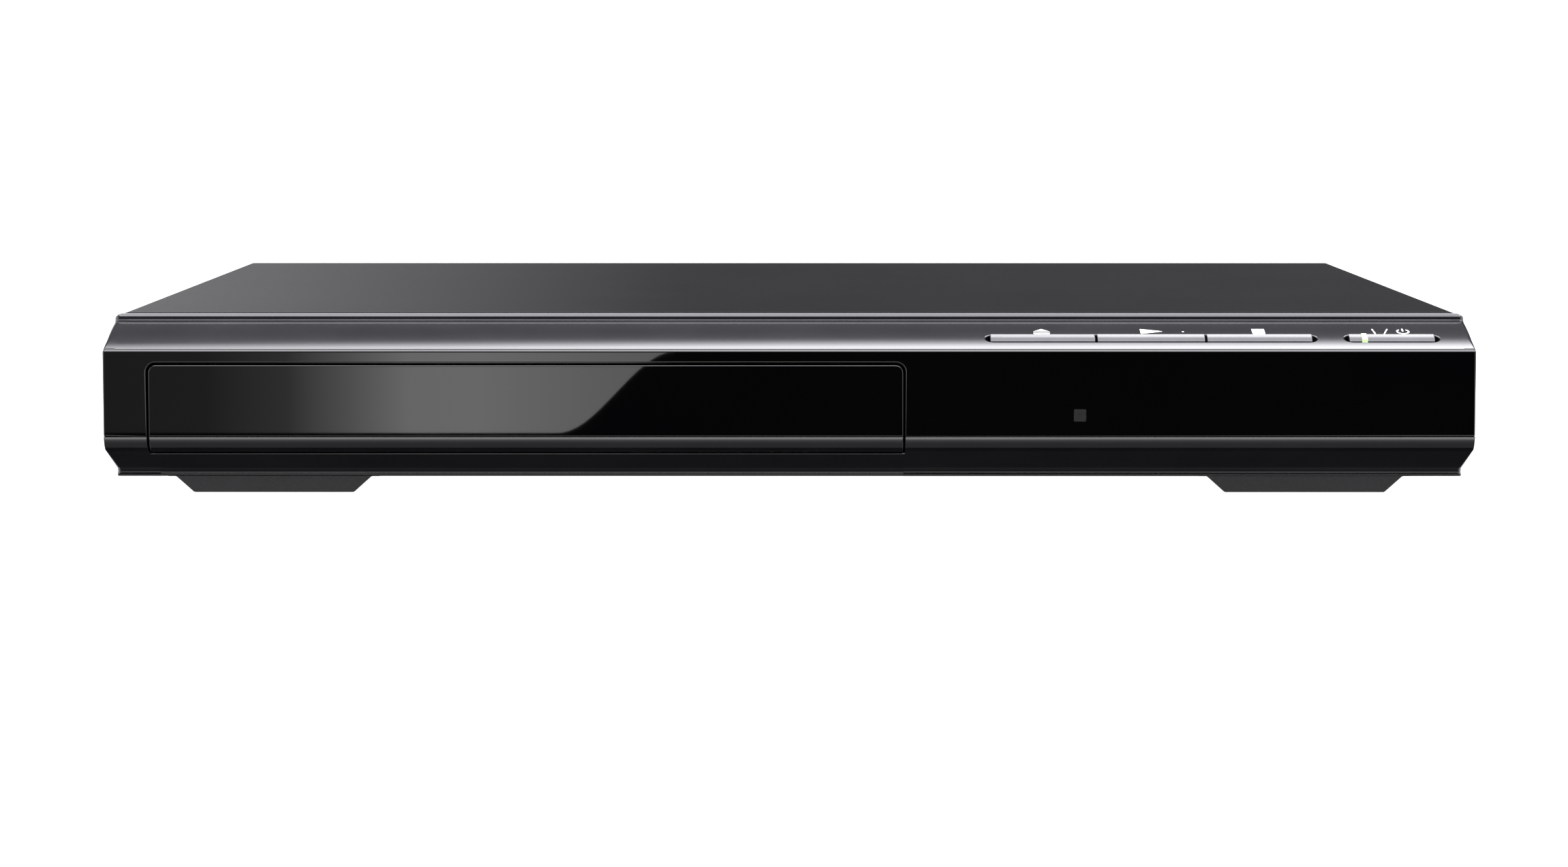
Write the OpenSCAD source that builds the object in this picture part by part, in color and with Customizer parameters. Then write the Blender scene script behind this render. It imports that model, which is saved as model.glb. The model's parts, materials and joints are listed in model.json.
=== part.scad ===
// Slim disc player with a motor-driven tray: cabinet, tray loader, pickup traverse, boards and sockets.
// Millimetres. X runs to the right seen from the front, Y to the rear, Z up from the floor.
// A depth d is counted from the front face, so y = front_y + d.

/* [Cabinet] */
// Width of the front panel across its front face
body_w = 270; // [268:1:300]
// Depth from the front face to the rear edge of the cover
body_d = 199; // [198:1:230]
// Height of the cabinet, from its bottom to the top of the cover
cabinet_h = 32.7; // [32.4:0.1:40]
// Height of the feet under the cabinet
foot_h = 5.8; // [4:0.1:9]
// Sheet thickness of the top cover
cover_t = 0.7; // [0.5:0.1:0.9]
// Sheet thickness of the bottom chassis and the rear panel
chassis_t = 0.8; // [0.6:0.1:1.2]
// How far each side of the cover sits in from the front panel
cover_inset = 0.9; // [0.5:0.1:1.4]
// Bend radius along the cover's top edges
cover_bend_r = 1.2; // [1:0.1:2]
// Gap between neighbouring cabinet parts
seam = 0.2; // [0.1:0.05:0.3]

/* [Front panel] */
// Depth of the moulded panel in front of the cover
panel_d = 18; // [17.6:0.1:22]
// Depth of the land between the upright strip and the cover
rim_land = 1.2; // [1:0.1:2]
// Height of the upright strip behind the sloped top
rim_h = 1.35; // [1:0.05:2]
// Drop of the sloped top from rear to front
slope_drop = 4.65; // [4:0.05:5.4]
// Crown radius of the sloped top
slope_r = 73; // [50:1:200]
// Wall thickness of the moulding
panel_wall = 2.2; // [1.6:0.1:2.4]
// Widening of each side from front to rear
panel_flare = 0.4; // [0.1:0.1:0.8]
// Upper corner radius of the moulding seen from the front
panel_corner_r = 2.3; // [1:0.1:3]
// Lower corner radius of the moulding seen from the front
panel_low_r = 0.8; // [0.4:0.1:2]
// Length of the lip that slips inside the cover
lip_l = 3.2; // [2:0.1:3.6]
// Thickness of the glossy window plate
window_t = 1.4; // [1:0.1:1.8]
// Height of the window's lower edge above the cabinet's bottom
window_low = 9.4; // [8.4:0.1:10.4]
// Radius of the rounding below the window
nose_r = 3.4; // [3:0.1:4]
// Angle of the bevel under the nose
bevel_deg = 20.4; // [19:0.1:21]

/* [Keys] */
// Depth of the middle of the key slots
slot_d = 5.95; // [5.6:0.05:7]
// Width of the key slots
slot_w = 3.6; // [3.2:0.1:4.2]
// Gap between the tray's door and the slot for the three playing keys
keys_gap = 16.35; // [14:0.05:18]
// Gap between the two slots
slot_gap = 5.4; // [4:0.1:8]
// Distance of the power key's slot from the panel's right side
power_margin = 6.4; // [5:0.1:8]
// Lengths of the three playing keys, in proportion to each other
key_shares = [20.7, 21.2, 20.7];
// Length of the power key
power_key_l = 16.8; // [12:0.1:18]
// Gap between two keys
key_gap = 0.5; // [0.3:0.05:0.8]
// Space between a slot's pointed end and the first key
slot_end = 1; // [0.9:0.1:1.5]
// Height of a key's rear edge above the slope
key_proud = 0.35; // [0.2:0.05:0.8]
// How far a key goes down
key_travel = 0.5; // [0.3:0.05:0.7]
// Width of the light bar in the power key
light_w = 1; // [0.8:0.1:1.6]
// Distance of the light bar from the power key's left end
light_x = 2.5; // [2:0.1:4]

/* [Tray] */
// Distance of the tray from the cabinet's left side
tray_inset = 15.2; // [14:0.1:16]
// Width of the tray
tray_w = 136; // [132:0.5:138]
// Distance of the closed tray from the rear edge of the cover
tray_rear_gap = 22; // [20:0.5:22.5]
// Height of the tray's underside above the chassis floor
tray_up = 17.4; // [17.4:0.1:18]
// Height of the tray's rim above its underside
tray_h = 4.6; // [4.2:0.1:4.8]
// Depth of the disc's place below the rim
disc_sink = 2; // [1.6:0.1:2.2]
// Further depth of the small disc's place
small_sink = 0.8; // [0.5:0.1:1]
// Radius of the disc's place
disc_r = 60.8; // [60.4:0.1:61]
// Radius of the small disc's place
small_r = 40.6; // [40.4:0.1:41.4]
// Half the width of the tray's opening for the turntable and the pickup
cut_r = 20; // [19:0.5:21]
// How far the tray's door reaches past the tray on each side
door_side = 6.25; // [5:0.05:6.5]
// Height of the door's upper edge above the tray's rim
door_over = 0.75; // [0.4:0.05:1]
// Gap round the door
door_gap = 0.45; // [0.3:0.05:0.6]
// Wall of the door behind its window plate
door_wall = 1.8; // [1.4:0.1:2.4]
// Corner radius of the door
door_r = 2; // [1:0.1:3]
// Length of the tray that stays inside when it is out
tray_kept = 39; // [39:1:57]

/* [Loader] */
// Depth of the disc's middle when the tray is closed
hub_d = 76; // [75.6:0.1:76.4]
// Wall thickness of the loader frame
frame_wall = 2.4; // [2:0.1:2.8]
// Gap between the tray and its guides
guide_gap = 0.3; // [0.2:0.05:0.4]
// Module of the tray's gears
gear_m = 1; // [0.9:0.01:1]
// Teeth of the pinion that drives the rack
pinion_z = 18; // [16:1:18]
// Teeth of the wheel under that pinion
wheel_z = 36; // [30:1:36]
// Teeth of the pulley's pinion
pulley_z = 14; // [13:1:15]
// Radius of the large belt pulley
pulley_r = 12; // [10:0.5:12]
// Radius of the motor's belt pulley
motor_pulley_r = 3; // [2.5:0.1:4]
// Distance between the two belt pulleys
belt_l = 31; // [29:0.5:33]
// Depth of the gears' axes
train_d = 34; // [33.6:0.1:34.4]
// How far the cam slider moves
cam_travel = 18; // [14:0.5:18]
// How far the cam lowers the traverse's front
cam_drop = 7.35; // [5:0.05:7.35]

/* [Pickup] */
// Radius of the disc's seat on the turntable
seat_r = 15; // [13:0.5:15]
// Height of the disc above the tray's disc place when it plays
disc_lift = 1.2; // [1:0.1:1.4]
// Radius of the spindle motor
spindle_r = 12.5; // [11:0.5:12.5]
// Radius of the guide rods
rod_r = 1.5; // [1.2:0.1:1.6]
// Distance of each guide rod from the disc's middle
rod_x = 24; // [23.6:0.1:24.4]
// Distance of the lens from the disc's middle at the innermost track
lens_in = 24.5; // [24.2:0.1:25]
// Length of the guide rods behind the sled at its outermost place
sled_spare = 3.4; // [3:0.1:9]
// Module of the feed gears
feed_m = 0.6; // [0.55:0.01:0.62]

/* [Rear sockets] */
// Radius of a socket's metal sleeve
sleeve_r = 4.15; // [4.1:0.05:4.2]
// How far the sleeves stand out behind the cover
jack_out = 8; // [6:0.5:10]
// Height between the two rows of sockets
row_pitch = 12.2; // [11.6:0.2:12.4]
// Radius of the hole for the mains cord
gland_r = 3.4; // [3:0.1:4]

/* [Boards] */
// Thickness of the circuit boards
board_t = 1.6; // [1.2:0.2:1.6]
// Height of the boards above the chassis floor
board_up = 2.6; // [2:0.1:3]
// Widths of the main board and the power board, in proportion to each other
board_shares = [57, 37];
// Gap between the loader and the main board
boards_left = 6.2; // [5:0.1:8]
// Gap between the two boards
boards_gap = 3; // [2:0.1:4]
// Gap between the power board and the chassis wall
boards_right = 3.8; // [2:0.1:5]
// Depth of the main board
main_l = 88; // [80:1:92]
// Depth of the power board
power_l = 118; // [110:1:120]

/* [Feet] */
// Width of a foot's flat sole
foot_w = 33; // [28:0.5:36]
// Depth of a foot
foot_l = 12; // [10:0.5:16]
// Distance of a sole's outer end from the panel's side
foot_inset = 12; // [11:0.5:20]
// Depth of the front feet's front edge
foot_front_d = 36.4; // [34:0.1:40]
// Distance of the rear feet from the cover's rear edge
foot_rear_gap = 22; // [20:0.5:30]

/* [Hidden] */
$fn = 48;

// Overall places
half_w = body_w / 2;
front_y = -(body_d + jack_out) / 2;
floor_z = foot_h;
pan_z = floor_z + chassis_t;
top_z = floor_z + cabinet_h;
roof_z = top_z - cover_t;
cover_half = half_w - cover_inset;
wall_half = cover_half - cover_t - seam;
cover_d = panel_d + seam;
back_d = body_d - cover_t - seam;
door_w = tray_w + 2 * door_side;
loader_x = -half_w + tray_inset + tray_w / 2;
eps = 0.05;
cut = 1;

// Front panel profile
rim_r = 0.7;
rim_z = top_z - 0.1;
rim_d = panel_d - rim_land;
slope_rear = [rim_d, rim_z - rim_h];
slope_front = [window_t, slope_rear[1] - slope_drop];
window_z = floor_z + window_low;
window_top = slope_front[1] - 0.1;
nose_d = nose_r * (1 - sin(bevel_deg));
nose_z = window_z - nose_r * cos(bevel_deg);
bevel_z = nose_z - (rim_d - nose_d) * tan(bevel_deg);
side_r = 0.35;
window_r = 0.5;

// Keys, in a frame that lies on the slope at the middle of the slots
slope_c = bulge_centre(slope_front, slope_rear, slope_r);
slope_deg = asin((slope_c[0] - slot_d) / slope_r);
slot_z = slope_c[1] + slope_r * cos(slope_deg);
play_slot_x = loader_x + door_w / 2 + keys_gap;
power_slot_l = power_key_l + 2 * slot_end;
power_slot_x = half_w - power_margin - power_slot_l;
play_slot_l = power_slot_x - slot_gap - play_slot_x;
keys_l = play_slot_l - 2 * key_gap - 2 * slot_end;
key_l = concat(key_shares * keys_l / (key_shares * [1, 1, 1]), power_key_l);
key_w = slot_w - 1;
key_back = slot_w / 2 - 0.25;
flange_t = 0.9;
flange_w = slot_w + 1.6;
key_seat = -panel_wall - 0.25;
switch_h = 4.4;
stem_r = 1.2;
stem_low = key_seat - flange_t - 0.9;
board_w0 = stem_low - key_travel - 0.1 - switch_h;

// Tray and loader
tray_rear = body_d - tray_rear_gap;
tray_travel = tray_rear - tray_kept;
tray_z = pan_z + tray_up;
rim_top = tray_z + tray_h;
disc_z = rim_top - disc_sink;
small_z = disc_z - small_sink;
door_top = rim_top + door_over;
door_d = window_t + door_wall;
frame_z = pan_z + 1;
frame_t = 1.4;
deck_z = frame_z + frame_t;
frame_front = panel_d + lip_l + 0.8;
rail_front = 8;
guide_half = tray_w / 2 + guide_gap + 0.1;
frame_half = guide_half + frame_wall;
wall_z = rim_top - 0.2;
hook_z = rim_top + guide_gap;
hook_t = 1.4;
frame_rear = tray_rear + 2;
beam_z = tray_z - 8.5;
beam_h = 4.6;
rack_h = 3;

// Gear train, X counted from the tray's middle
pressure_deg = 20;
gear_play = 0.12;
rack_back = 4;
rack_x = tray_w / 2 - 7 - rack_back;
drive_x = rack_x - gear_m * pinion_z / 2;
pulley_x = drive_x - gear_m * (wheel_z + pulley_z) / 2;
motor_x = pulley_x - belt_l;
wheel_z0 = deck_z + 2;
wheel_t = 3;
belt_z = tray_z - 2.2;
belt_s = 1.2;
post_r = 1.5;
running = 0.05;
pulley_half = 1.5;
groove_deep = 1;
motor_r = 12;
motor_ring = 2;
motor_top = belt_z - 3.3;

// Cam slider and traverse
slider_t = 2.8;
slider_z = deck_z + 0.1;
slider_h = tray_z - 1.2 - slider_z;
spindle_flange_r = seat_r - 0.6;
traverse_lip = 2;
traverse_front = hub_d - spindle_flange_r - 0.1 - traverse_lip;
traverse_rear = (hub_d + 74 + frame_rear - 29) / 2;
slider_room = [train_d + motor_r + motor_ring, traverse_front - slider_t];
slider_d = 0.25 * slider_room[0] + 0.75 * slider_room[1];
traverse_half = 45;
traverse_top = tray_z - 4.2;
traverse_t = 3;
hinge_d = traverse_rear + 4;
hinge_z = traverse_top - 2.3;
hinge_r = 2;
hinge_w = 4.6;
cam_pin_r = 1.5;
cam_pin_z = tray_z - 4.5;
cam_pin_x = 25;
cam_slack = 0.3;
open_half = traverse_half + 1.4;

// Disc seat, clamper and bridge
seat_z = disc_z + disc_lift;
pad_t = 0.5;
cone_r = 7.4;
cone_h = 1.9;
clamp_r = 14;
bridge_z = hook_z + hook_t + 1.6;
bridge_t = 1.4;
bridge_l = 40;
bridge_front = hub_d - bridge_l / 2;
boss_x = frame_half + 3.1;
boss_r = 3.3;
clamp_gap = 0.1;

// Sled and feed
rod_z = tray_z - 3;
rod_front = hub_d + 12.4;
rod_rear = traverse_rear - 1;
sled_l = 22;
sled_d = hub_d + lens_in - 8.9;
sled_z = tray_z - 9.5;
sled_h = 7.7;
sled_travel = rod_rear - sled_spare - sled_d - sled_l;
feed_x = 35.2;
feed_d = hub_d + 36;
feed_small_z = 14;
feed_large_z = 24;
feed_pinion_z = 10;
feed_rack_x = feed_x - feed_m * feed_small_z / 2;
feed_z0 = tray_z - 3.8;
feed_t = 1.7;
feed_big_z = feed_z0 + feed_t + 0.4;
feed_big_t = 1.3;
feed_motor_d = feed_d - feed_m * (feed_large_z + feed_pinion_z) / 2;
feed_motor_r = 6.5;
feed_motor_z = traverse_top - 8.3;
motor_plate_t = 0.8;

// Boards and rear sockets
board_z = pan_z + board_up;
board_top = board_z + board_t;
main_x = loader_x + boss_x + boss_r + boards_left;
boards_w = wall_half - chassis_t - boards_right - main_x - boards_gap;
main_w = boards_w * board_shares[0] / (board_shares * [1, 1]);
power_w = boards_w - main_w;
main_rear = back_d - chassis_t - seam;
main_d = main_rear - main_l;
power_x = main_x + main_w + boards_gap;
power_d = back_d - chassis_t - 4 - power_l;
board_hole_in = 4;
block_d = 12;
jack_pitch = (main_w - 1) / 4;
jack_x = main_x + jack_pitch / 2 + 1.4;
row_z = [board_top + 5.4, board_top + 5.4 + row_pitch];
gland_x = power_x + power_w / 2 + 4;
gland_z = pan_z + 15;
gland_wall = 1.7;
gland_l = 5;
screw_r = 1.4;
screw_head_r = 2.7;
screw_head_h = 1.6;
hole_r = screw_r + 0.1;
cover_screw_x = [-half_w + 25, 0, half_w - 23];
cover_screw_z = top_z - 5;
lip_h = 4.6;
tab_w = 12;
tab_h = 9;
bead_l = 34;
bead_w = 7;
bead_h = 0.5;
bead_x = half_w - bead_l - 19;
bead_d = [36, 46];
side_bead_d = [for (i = [1:3]) back_d - 32.1 - (3 - i) * 48];
flange_l = 11;
flange_screw_x = [for (x = [-20.2, 25.8, 71.8]) loader_x + x];
flange_screw_d = back_d - 7;

// Places of the boards' screws and of the loader's screws
main_holes = [
    for (
        x = [main_x + board_hole_in, main_x + main_w - board_hole_in],
        d = [main_d + board_hole_in, main_rear - block_d - 6]
    ) [x, d]
];
power_holes = [
    for (
        x = [power_x + board_hole_in, power_x + power_w - board_hole_in],
        d = [power_d + board_hole_in, power_d + power_l - board_hole_in]
    ) [x, d]
];
board_holes = concat(main_holes, power_holes);
loader_hole_x = frame_half - 7.8;
loader_hole_d = [frame_front + 3.6, frame_rear - 5];
loader_holes = [for (side = [-1, 1], d = loader_hole_d) [loader_x + side * loader_hole_x, d]];
bridge_hole_d = [bridge_front + 5, bridge_front + bridge_l - 5];

// Sockets: three columns in two rows, and one more in the lower row
sockets = concat(
    [for (z = row_z, i = [0:2]) [jack_x + i * jack_pitch, z]],
    [[jack_x + 3 * jack_pitch, row_z[0]]]
);
socket_rear = back_d - chassis_t - seam / 2;
core_r = sleeve_r - 0.6;
collar_r = 5.2;
sleeve_root_r = sleeve_r - 0.25;
socket_bore = 8;
collar_rear = back_d + 0.6;
sleeve_step = collar_rear + 0.2;

// Middles of the feet
foot_boss_r = 3;
foot_x = half_w - foot_inset - foot_w / 2;
foot_places = [
    for (d = [foot_front_d, body_d - foot_rear_gap], side = [-1, 1]) [side * foot_x, d]
];

// Left ends and lengths of the four keys, and what lies under them
key_spans = [
    [play_key_x(0), key_l[0]], [play_key_x(1), key_l[1]], [play_key_x(2), key_l[2]],
    [power_slot_x + slot_end, key_l[3]]
];
light_neck = 1.6;
board_posts = [play_slot_x - 2.3, power_slot_x - 2.8];
board_front = -3.6;
board_rear = 11.4;
ir_x = play_slot_x + 18.4;
ir_z = floor_z + 13.6;
ir_r = 1.9;

// Starts of the racks, each with a tooth gap at its gear's axis
rack_start = train_d - floor((train_d - rail_front) / (PI * gear_m)) * PI * gear_m;
rack_teeth = ceil((train_d + tray_travel + 2 - rack_start) / (PI * gear_m));
feed_rack_teeth = ceil((sled_travel + 6) / (PI * feed_m));
feed_rack_start = feed_d + (2 - feed_rack_teeth) * PI * feed_m;
feed_play = 0.16;

// Ribbon cable, from the front board to its connector on the main board, in depth and height
ribbon_x = main_x + main_w - 18;
ribbon_w = 12;
ribbon_t = 0.3;
ribbon_socket_h = 4.5;
ribbon_from = [
    slot_d + board_rear * cos(slope_deg) - board_w0 * sin(slope_deg),
    slot_z + board_rear * sin(slope_deg) + board_w0 * cos(slope_deg) + 0.2
];
ribbon_to = [main_d + 3.2, board_top + ribbon_socket_h];

// ---------- Drawing helpers ----------

// Profile in depth and height, carried along X from x0 to x1
module along_x(x0, x1) {
    translate([x0, front_y, 0]) rotate([90, 0, 90]) linear_extrude(x1 - x0) children();
}

// Outline in X and depth, raised from z0 to z1
module plan(z0, z1) {
    translate([0, front_y, z0]) linear_extrude(z1 - z0) children();
}

// Outline in X and height, carried from depth d0 to depth d1
module elevation(d0, d1) {
    translate([0, front_y + d1, 0]) rotate([90, 0, 0]) linear_extrude(d1 - d0) children();
}

// Block between two corners, in X, depth and height
module block(x0, x1, d0, d1, z0, z1) {
    translate([x0, front_y + d0, z0]) cube([x1 - x0, d1 - d0, z1 - z0]);
}

// Upright cylinder at x and depth d
module post(x, d, z0, z1, r) {
    translate([x, front_y + d, z0]) cylinder(r = r, h = z1 - z0);
}

// Cylinder that points to the rear, from depth d0 to depth d1
module rod(x, z, d0, d1, r) {
    translate([x, front_y + d0, z]) rotate([-90, 0, 0]) cylinder(r = r, h = d1 - d0);
}

// Flat shape with round ends, its length along X
module stadium(l, w) {
    square([l - w, w], center = true);
    for (side = [-1, 1]) translate([side * (l - w) / 2, 0]) circle(d = w);
}

// Rectangle from corner to corner
module area(x0, x1, y0, y1) {
    translate([x0, y0]) square([x1 - x0, y1 - y0]);
}

// Rectangle with round corners of radius r
module round_area(x0, x1, y0, y1, r) {
    area(x0 + r, x1 - r, y0, y1);
    area(x0, x1, y0 + r, y1 - r);
    for (x = [x0 + r, x1 - r], y = [y0 + r, y1 - r]) translate([x, y]) circle(r = r);
}

// Rectangle with round upper corners only
module arch_area(x0, x1, y0, y1, r) {
    area(x0, x1, y0, y1 - r);
    area(x0 + r, x1 - r, y0, y1);
    for (x = [x0 + r, x1 - r]) translate([x, y1 - r]) circle(r = r);
}

// Shifts the loader's parts to the tray's middle
module in_loader() {
    translate([loader_x, 0, 0]) children();
}

// Frame on the slope: X across, Y up the slope, Z out of it
module on_slope(x = 0) {
    translate([x, front_y + slot_d, slot_z]) rotate([slope_deg, 0, 0]) children();
}

// Screw with a cross recess, its head on the plane z = 0 and its shank below
module screw(l) {
    rim_h = screw_head_h * 0.6;
    recess = [screw_head_r * 1.1, 0.6, 0.8];
    difference() {
        union() {
            cylinder(r = screw_head_r, h = rim_h);
            translate([0, 0, rim_h])
                cylinder(r1 = screw_head_r, r2 = screw_head_r * 0.7, h = screw_head_h - rim_h);
            translate([0, 0, -l]) cylinder(r = screw_r, h = l);
        }
        for (turn = [0, 90]) rotate(turn) translate([0, 0, screw_head_h])
            cube([recess[0], recess[1], 2 * recess[2]], center = true);
    }
}

// Points of a circular arc round c
function arc(c, r, a0, a1, n) = [
    for (i = [0:n]) c + r * [cos(a0 + (a1 - a0) * i / n), sin(a0 + (a1 - a0) * i / n)]
];

// Centre of the arc of radius r that bulges upwards between p and q
function bulge_centre(p, q, r) =
    let (v = q - p, l = norm(v))
    (p + q) / 2 + [v[1], -v[0]] / l * sqrt(r * r - l * l / 4);

// Points of that arc, from p to q
function bulge(p, q, r, n) =
    let (c = bulge_centre(p, q, r), u = p - c, v = q - c)
    arc(c, r, atan2(u[1], u[0]), atan2(v[1], v[0]), n);

// Involute of the circle rb, in degrees, where it crosses radius r
function involute(rb, r) = let (a = acos(min(1, rb / r))) tan(a) * 180 / PI - a;

// Radii at which a tooth flank is worked out, from root to tip
function flank_radii(m, z) = [
    m * z / 2 - 1.25 * m, max(m * z / 2 * cos(pressure_deg), m * z / 2 - m), m * z / 2, m * z / 2 + m
];

// Half the angle of a tooth at radius r
function half_tooth(m, z, play, r) =
    let (rp = m * z / 2, rb = rp * cos(pressure_deg))
    90 / z - play / rp * 90 / PI + involute(rb, rp) - involute(rb, max(r, rb));

// Outline of an involute gear with z teeth of module m, one tooth pointing along +X
module gear_area(m, z, play = gear_play) {
    radii = flank_radii(m, z);
    polygon([
        for (i = [0:z - 1], side = [-1, 1], k = [0:3])
            let (r = radii[side < 0 ? k : 3 - k], a = 360 / z * i + side * half_tooth(m, z, play, r))
            r * [cos(a), sin(a)]
    ]);
}

// Outline of a straight rack along Y from y0, its teeth pointing to -X from the pitch line x = 0
module rack_area(m, teeth, back, play = gear_play) {
    half_pitch = PI * m / 4 - play / 2;
    rise = m * tan(pressure_deg);
    foot = 1.25 * m;
    polygon(concat(
        [[back, 0], [foot, 0]],
        [
            for (i = [0:teeth - 1], p = [
                [foot, -half_pitch - rise * 1.25], [-m, -half_pitch + rise],
                [-m, half_pitch - rise], [foot, half_pitch + rise * 1.25]
            ]) p + [0, (i + 0.5) * PI * m]
        ],
        [[foot, teeth * PI * m], [back, teeth * PI * m]]
    ));
}

// ---------- Cabinet ----------

// Outline of the front panel seen from the side, in depth and height
function panel_outline() = concat(
    [[panel_d, floor_z], [rim_d, floor_z], [rim_d, bevel_z]],
    arc([nose_r, window_z], nose_r, 270 - bevel_deg, 180, 8),
    [[window_t, window_z]],
    bulge(slope_front, slope_rear, slope_r, 14),
    arc([rim_d + rim_r, rim_z - rim_r], rim_r, 180, 90, 4),
    [[panel_d, rim_z]]
);

// The panel's solid form, flared towards the rear and with round corners
module panel_form() {
    intersection() {
        along_x(-half_w - cut, half_w + cut) polygon(panel_outline());
        plan(floor_z - cut, top_z + cut) polygon([
            [-half_w, 0], [half_w, 0], [half_w + panel_flare, panel_d], [-half_w - panel_flare, panel_d]
        ]);
        elevation(-cut, panel_d + cut) {
            arch_area(
                -half_w - panel_flare, half_w + panel_flare, floor_z + panel_low_r, rim_z, panel_corner_r
            );
            round_area(
                -half_w - panel_flare, half_w + panel_flare, floor_z, rim_z - panel_corner_r, panel_low_r
            );
        }
    }
}

// Hollow of the panel, open to the rear
module panel_hollow() {
    along_x(-half_w + panel_wall, half_w - panel_wall) {
        offset(delta = -panel_wall) polygon(panel_outline());
        area(rim_d - panel_wall, panel_d + cut, floor_z + panel_wall, rim_z - panel_wall);
    }
}

// Opening for the tray and its door
module tray_opening(depth) {
    in_loader() elevation(-cut, depth) arch_area(
        -door_w / 2 - door_gap, door_w / 2 + door_gap, nose_z - door_gap, door_top + door_gap, door_r
    );
}

// Slot for a row of keys, cut square to the slope
module key_slot(x, l) {
    on_slope(x) translate([l / 2, 0, -panel_wall * 2]) linear_extrude(panel_wall * 3) stadium(l, slot_w);
}

module front_panel() color([0.1, 0.1, 0.11]) {
    lip_half = cover_half - cover_t - seam;
    lip_top = roof_z - seam;
    lip_low = pan_z + seam;
    lip_t = panel_wall * 0.8;
    post_w = 4;
    difference() {
        union() {
            difference() {
                panel_form();
                panel_hollow();
            }
            elevation(panel_d - cut, panel_d + lip_l) difference() {
                area(-lip_half, lip_half, lip_low, lip_top);
                area(-lip_half + lip_t, lip_half - lip_t, lip_low + lip_t, lip_top - lip_t);
                area(loader_x - frame_half, loader_x + frame_half, lip_low - cut, lip_low + lip_t + cut);
            }
            for (x = board_posts) on_slope(x)
                translate([-post_w / 2, 2, board_w0]) cube([post_w, 6, -board_w0 - panel_wall / 2]);
        }
        tray_opening(rim_d);
        key_slot(play_slot_x, play_slot_l);
        key_slot(power_slot_x, power_slot_l);
        rod(ir_x, ir_z, -cut, window_t + panel_wall * 2, ir_r + 0.5);
    }
}

module front_window() color([0.03, 0.03, 0.035]) {
    difference() {
        along_x(-half_w, half_w) difference() {
            area(0, window_t, window_z, window_top);
            difference() {
                area(-cut, window_r, window_top - window_r, window_top + cut);
                translate([window_r, window_top - window_r]) circle(r = window_r);
            }
        }
        tray_opening(window_t + cut);
        for (side = [-1, 1]) translate([side * half_w, front_y, window_z - cut])
            rotate(45) cube([side_r, side_r, cabinet_h] * 2, center = true);
    }
}

module top_cover() color([0.33, 0.33, 0.34]) {
    difference() {
        union() {
            elevation(cover_d, body_d) difference() {
                arch_area(-cover_half, cover_half, floor_z + seam, top_z, cover_bend_r);
                arch_area(
                    -cover_half + cover_t, cover_half - cover_t, floor_z - cut, roof_z,
                    cover_bend_r - cover_t + 0.1
                );
            }
            elevation(body_d - cover_t, body_d) {
                area(-cover_half + cover_t, cover_half - cover_t, top_z - lip_h, roof_z);
                for (x = cover_screw_x) area(x - tab_w / 2, x + tab_w / 2, top_z - tab_h, roof_z);
            }
        }
        for (x = cover_screw_x) rod(x, cover_screw_z, body_d - cut, body_d + cut, hole_r);
    }
}

// Outlines of the stiffening beads in the chassis floor, made smaller by inset on every side
module beads(inset) {
    l = 2 * inset;
    for (d = side_bead_d) translate([-half_w + 6.5, d]) rotate(90) stadium(bead_l - l, bead_w - l);
    for (d = bead_d) translate([bead_x, d]) stadium(2 * bead_l - l, bead_w - l);
    translate([loader_x, frame_rear + 4]) stadium(3 * bead_l - l, bead_w - l);
}

// Air slots under the power board, three across and four deep
module air_slots() {
    for (i = [-1:1], k = [0:3])
        translate([power_x + power_w * (0.5 + 0.28 * i), power_d + power_l * (0.25 + 0.135 * k)])
            rotate(90) stadium(12, 2.4);
}

module bottom_chassis() color([0.72, 0.73, 0.74]) {
    difference() {
        union() {
            plan(floor_z, pan_z) area(-wall_half, wall_half, cover_d, back_d);
            for (side = [-1, 1]) mirror_side(side) block(
                wall_half - chassis_t, wall_half, panel_d + lip_l + 1, back_d - chassis_t - seam,
                floor_z, roof_z - 9
            );
            for (h = board_holes) post(h[0], h[1], floor_z, board_z, 2 * screw_r + 0.2);
            plan(pan_z - eps, pan_z + bead_h) beads(0);
        }
        plan(floor_z - cut, floor_z + bead_h) beads(chassis_t);
        for (h = board_holes) post(h[0], h[1], floor_z - cut, board_z + cut, hole_r);
        for (h = loader_holes) post(h[0], h[1], floor_z - cut, pan_z + cut, hole_r);
        for (x = flange_screw_x) post(x, flange_screw_d, floor_z - cut, pan_z + cut, hole_r);
        for (f = foot_places) post(f[0], f[1] + foot_l / 2, floor_z - cut, pan_z + cut, foot_boss_r + 0.1);
        plan(floor_z - cut, pan_z + cut) air_slots();
    }
}

// Mirrors a right-hand piece to the left side for side = -1
module mirror_side(side) {
    mirror([side < 0 ? 1 : 0, 0, 0]) children();
}

module rear_panel() color([0.16, 0.16, 0.17]) {
    inside = back_d - 3;
    difference() {
        union() {
            block(-wall_half, wall_half, back_d - chassis_t, back_d, pan_z + eps, roof_z - seam);
            block(-wall_half + 3, wall_half - 3, back_d - flange_l, back_d, pan_z + eps, pan_z + chassis_t);
        }
        for (x = cover_screw_x) rod(x, cover_screw_z, inside, back_d + cut, hole_r);
        for (x = flange_screw_x) post(x, flange_screw_d, floor_z, pan_z + 3, hole_r);
        for (j = sockets) rod(j[0], j[1], inside, back_d + cut, collar_r + 0.2);
        rod(gland_x, gland_z, inside, back_d + cut, gland_r + gland_wall + 0.1);
        block(
            main_x - cut, power_x + power_w + cut, back_d - flange_l - cut, back_d - chassis_t - eps,
            pan_z - cut, board_z
        );
        for (i = [0:9]) elevation(inside, back_d + cut)
            translate([loader_x + (i - 4.5) * 10, pan_z + 14]) rotate(90) stadium(14, 2.2);
    }
}

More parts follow.
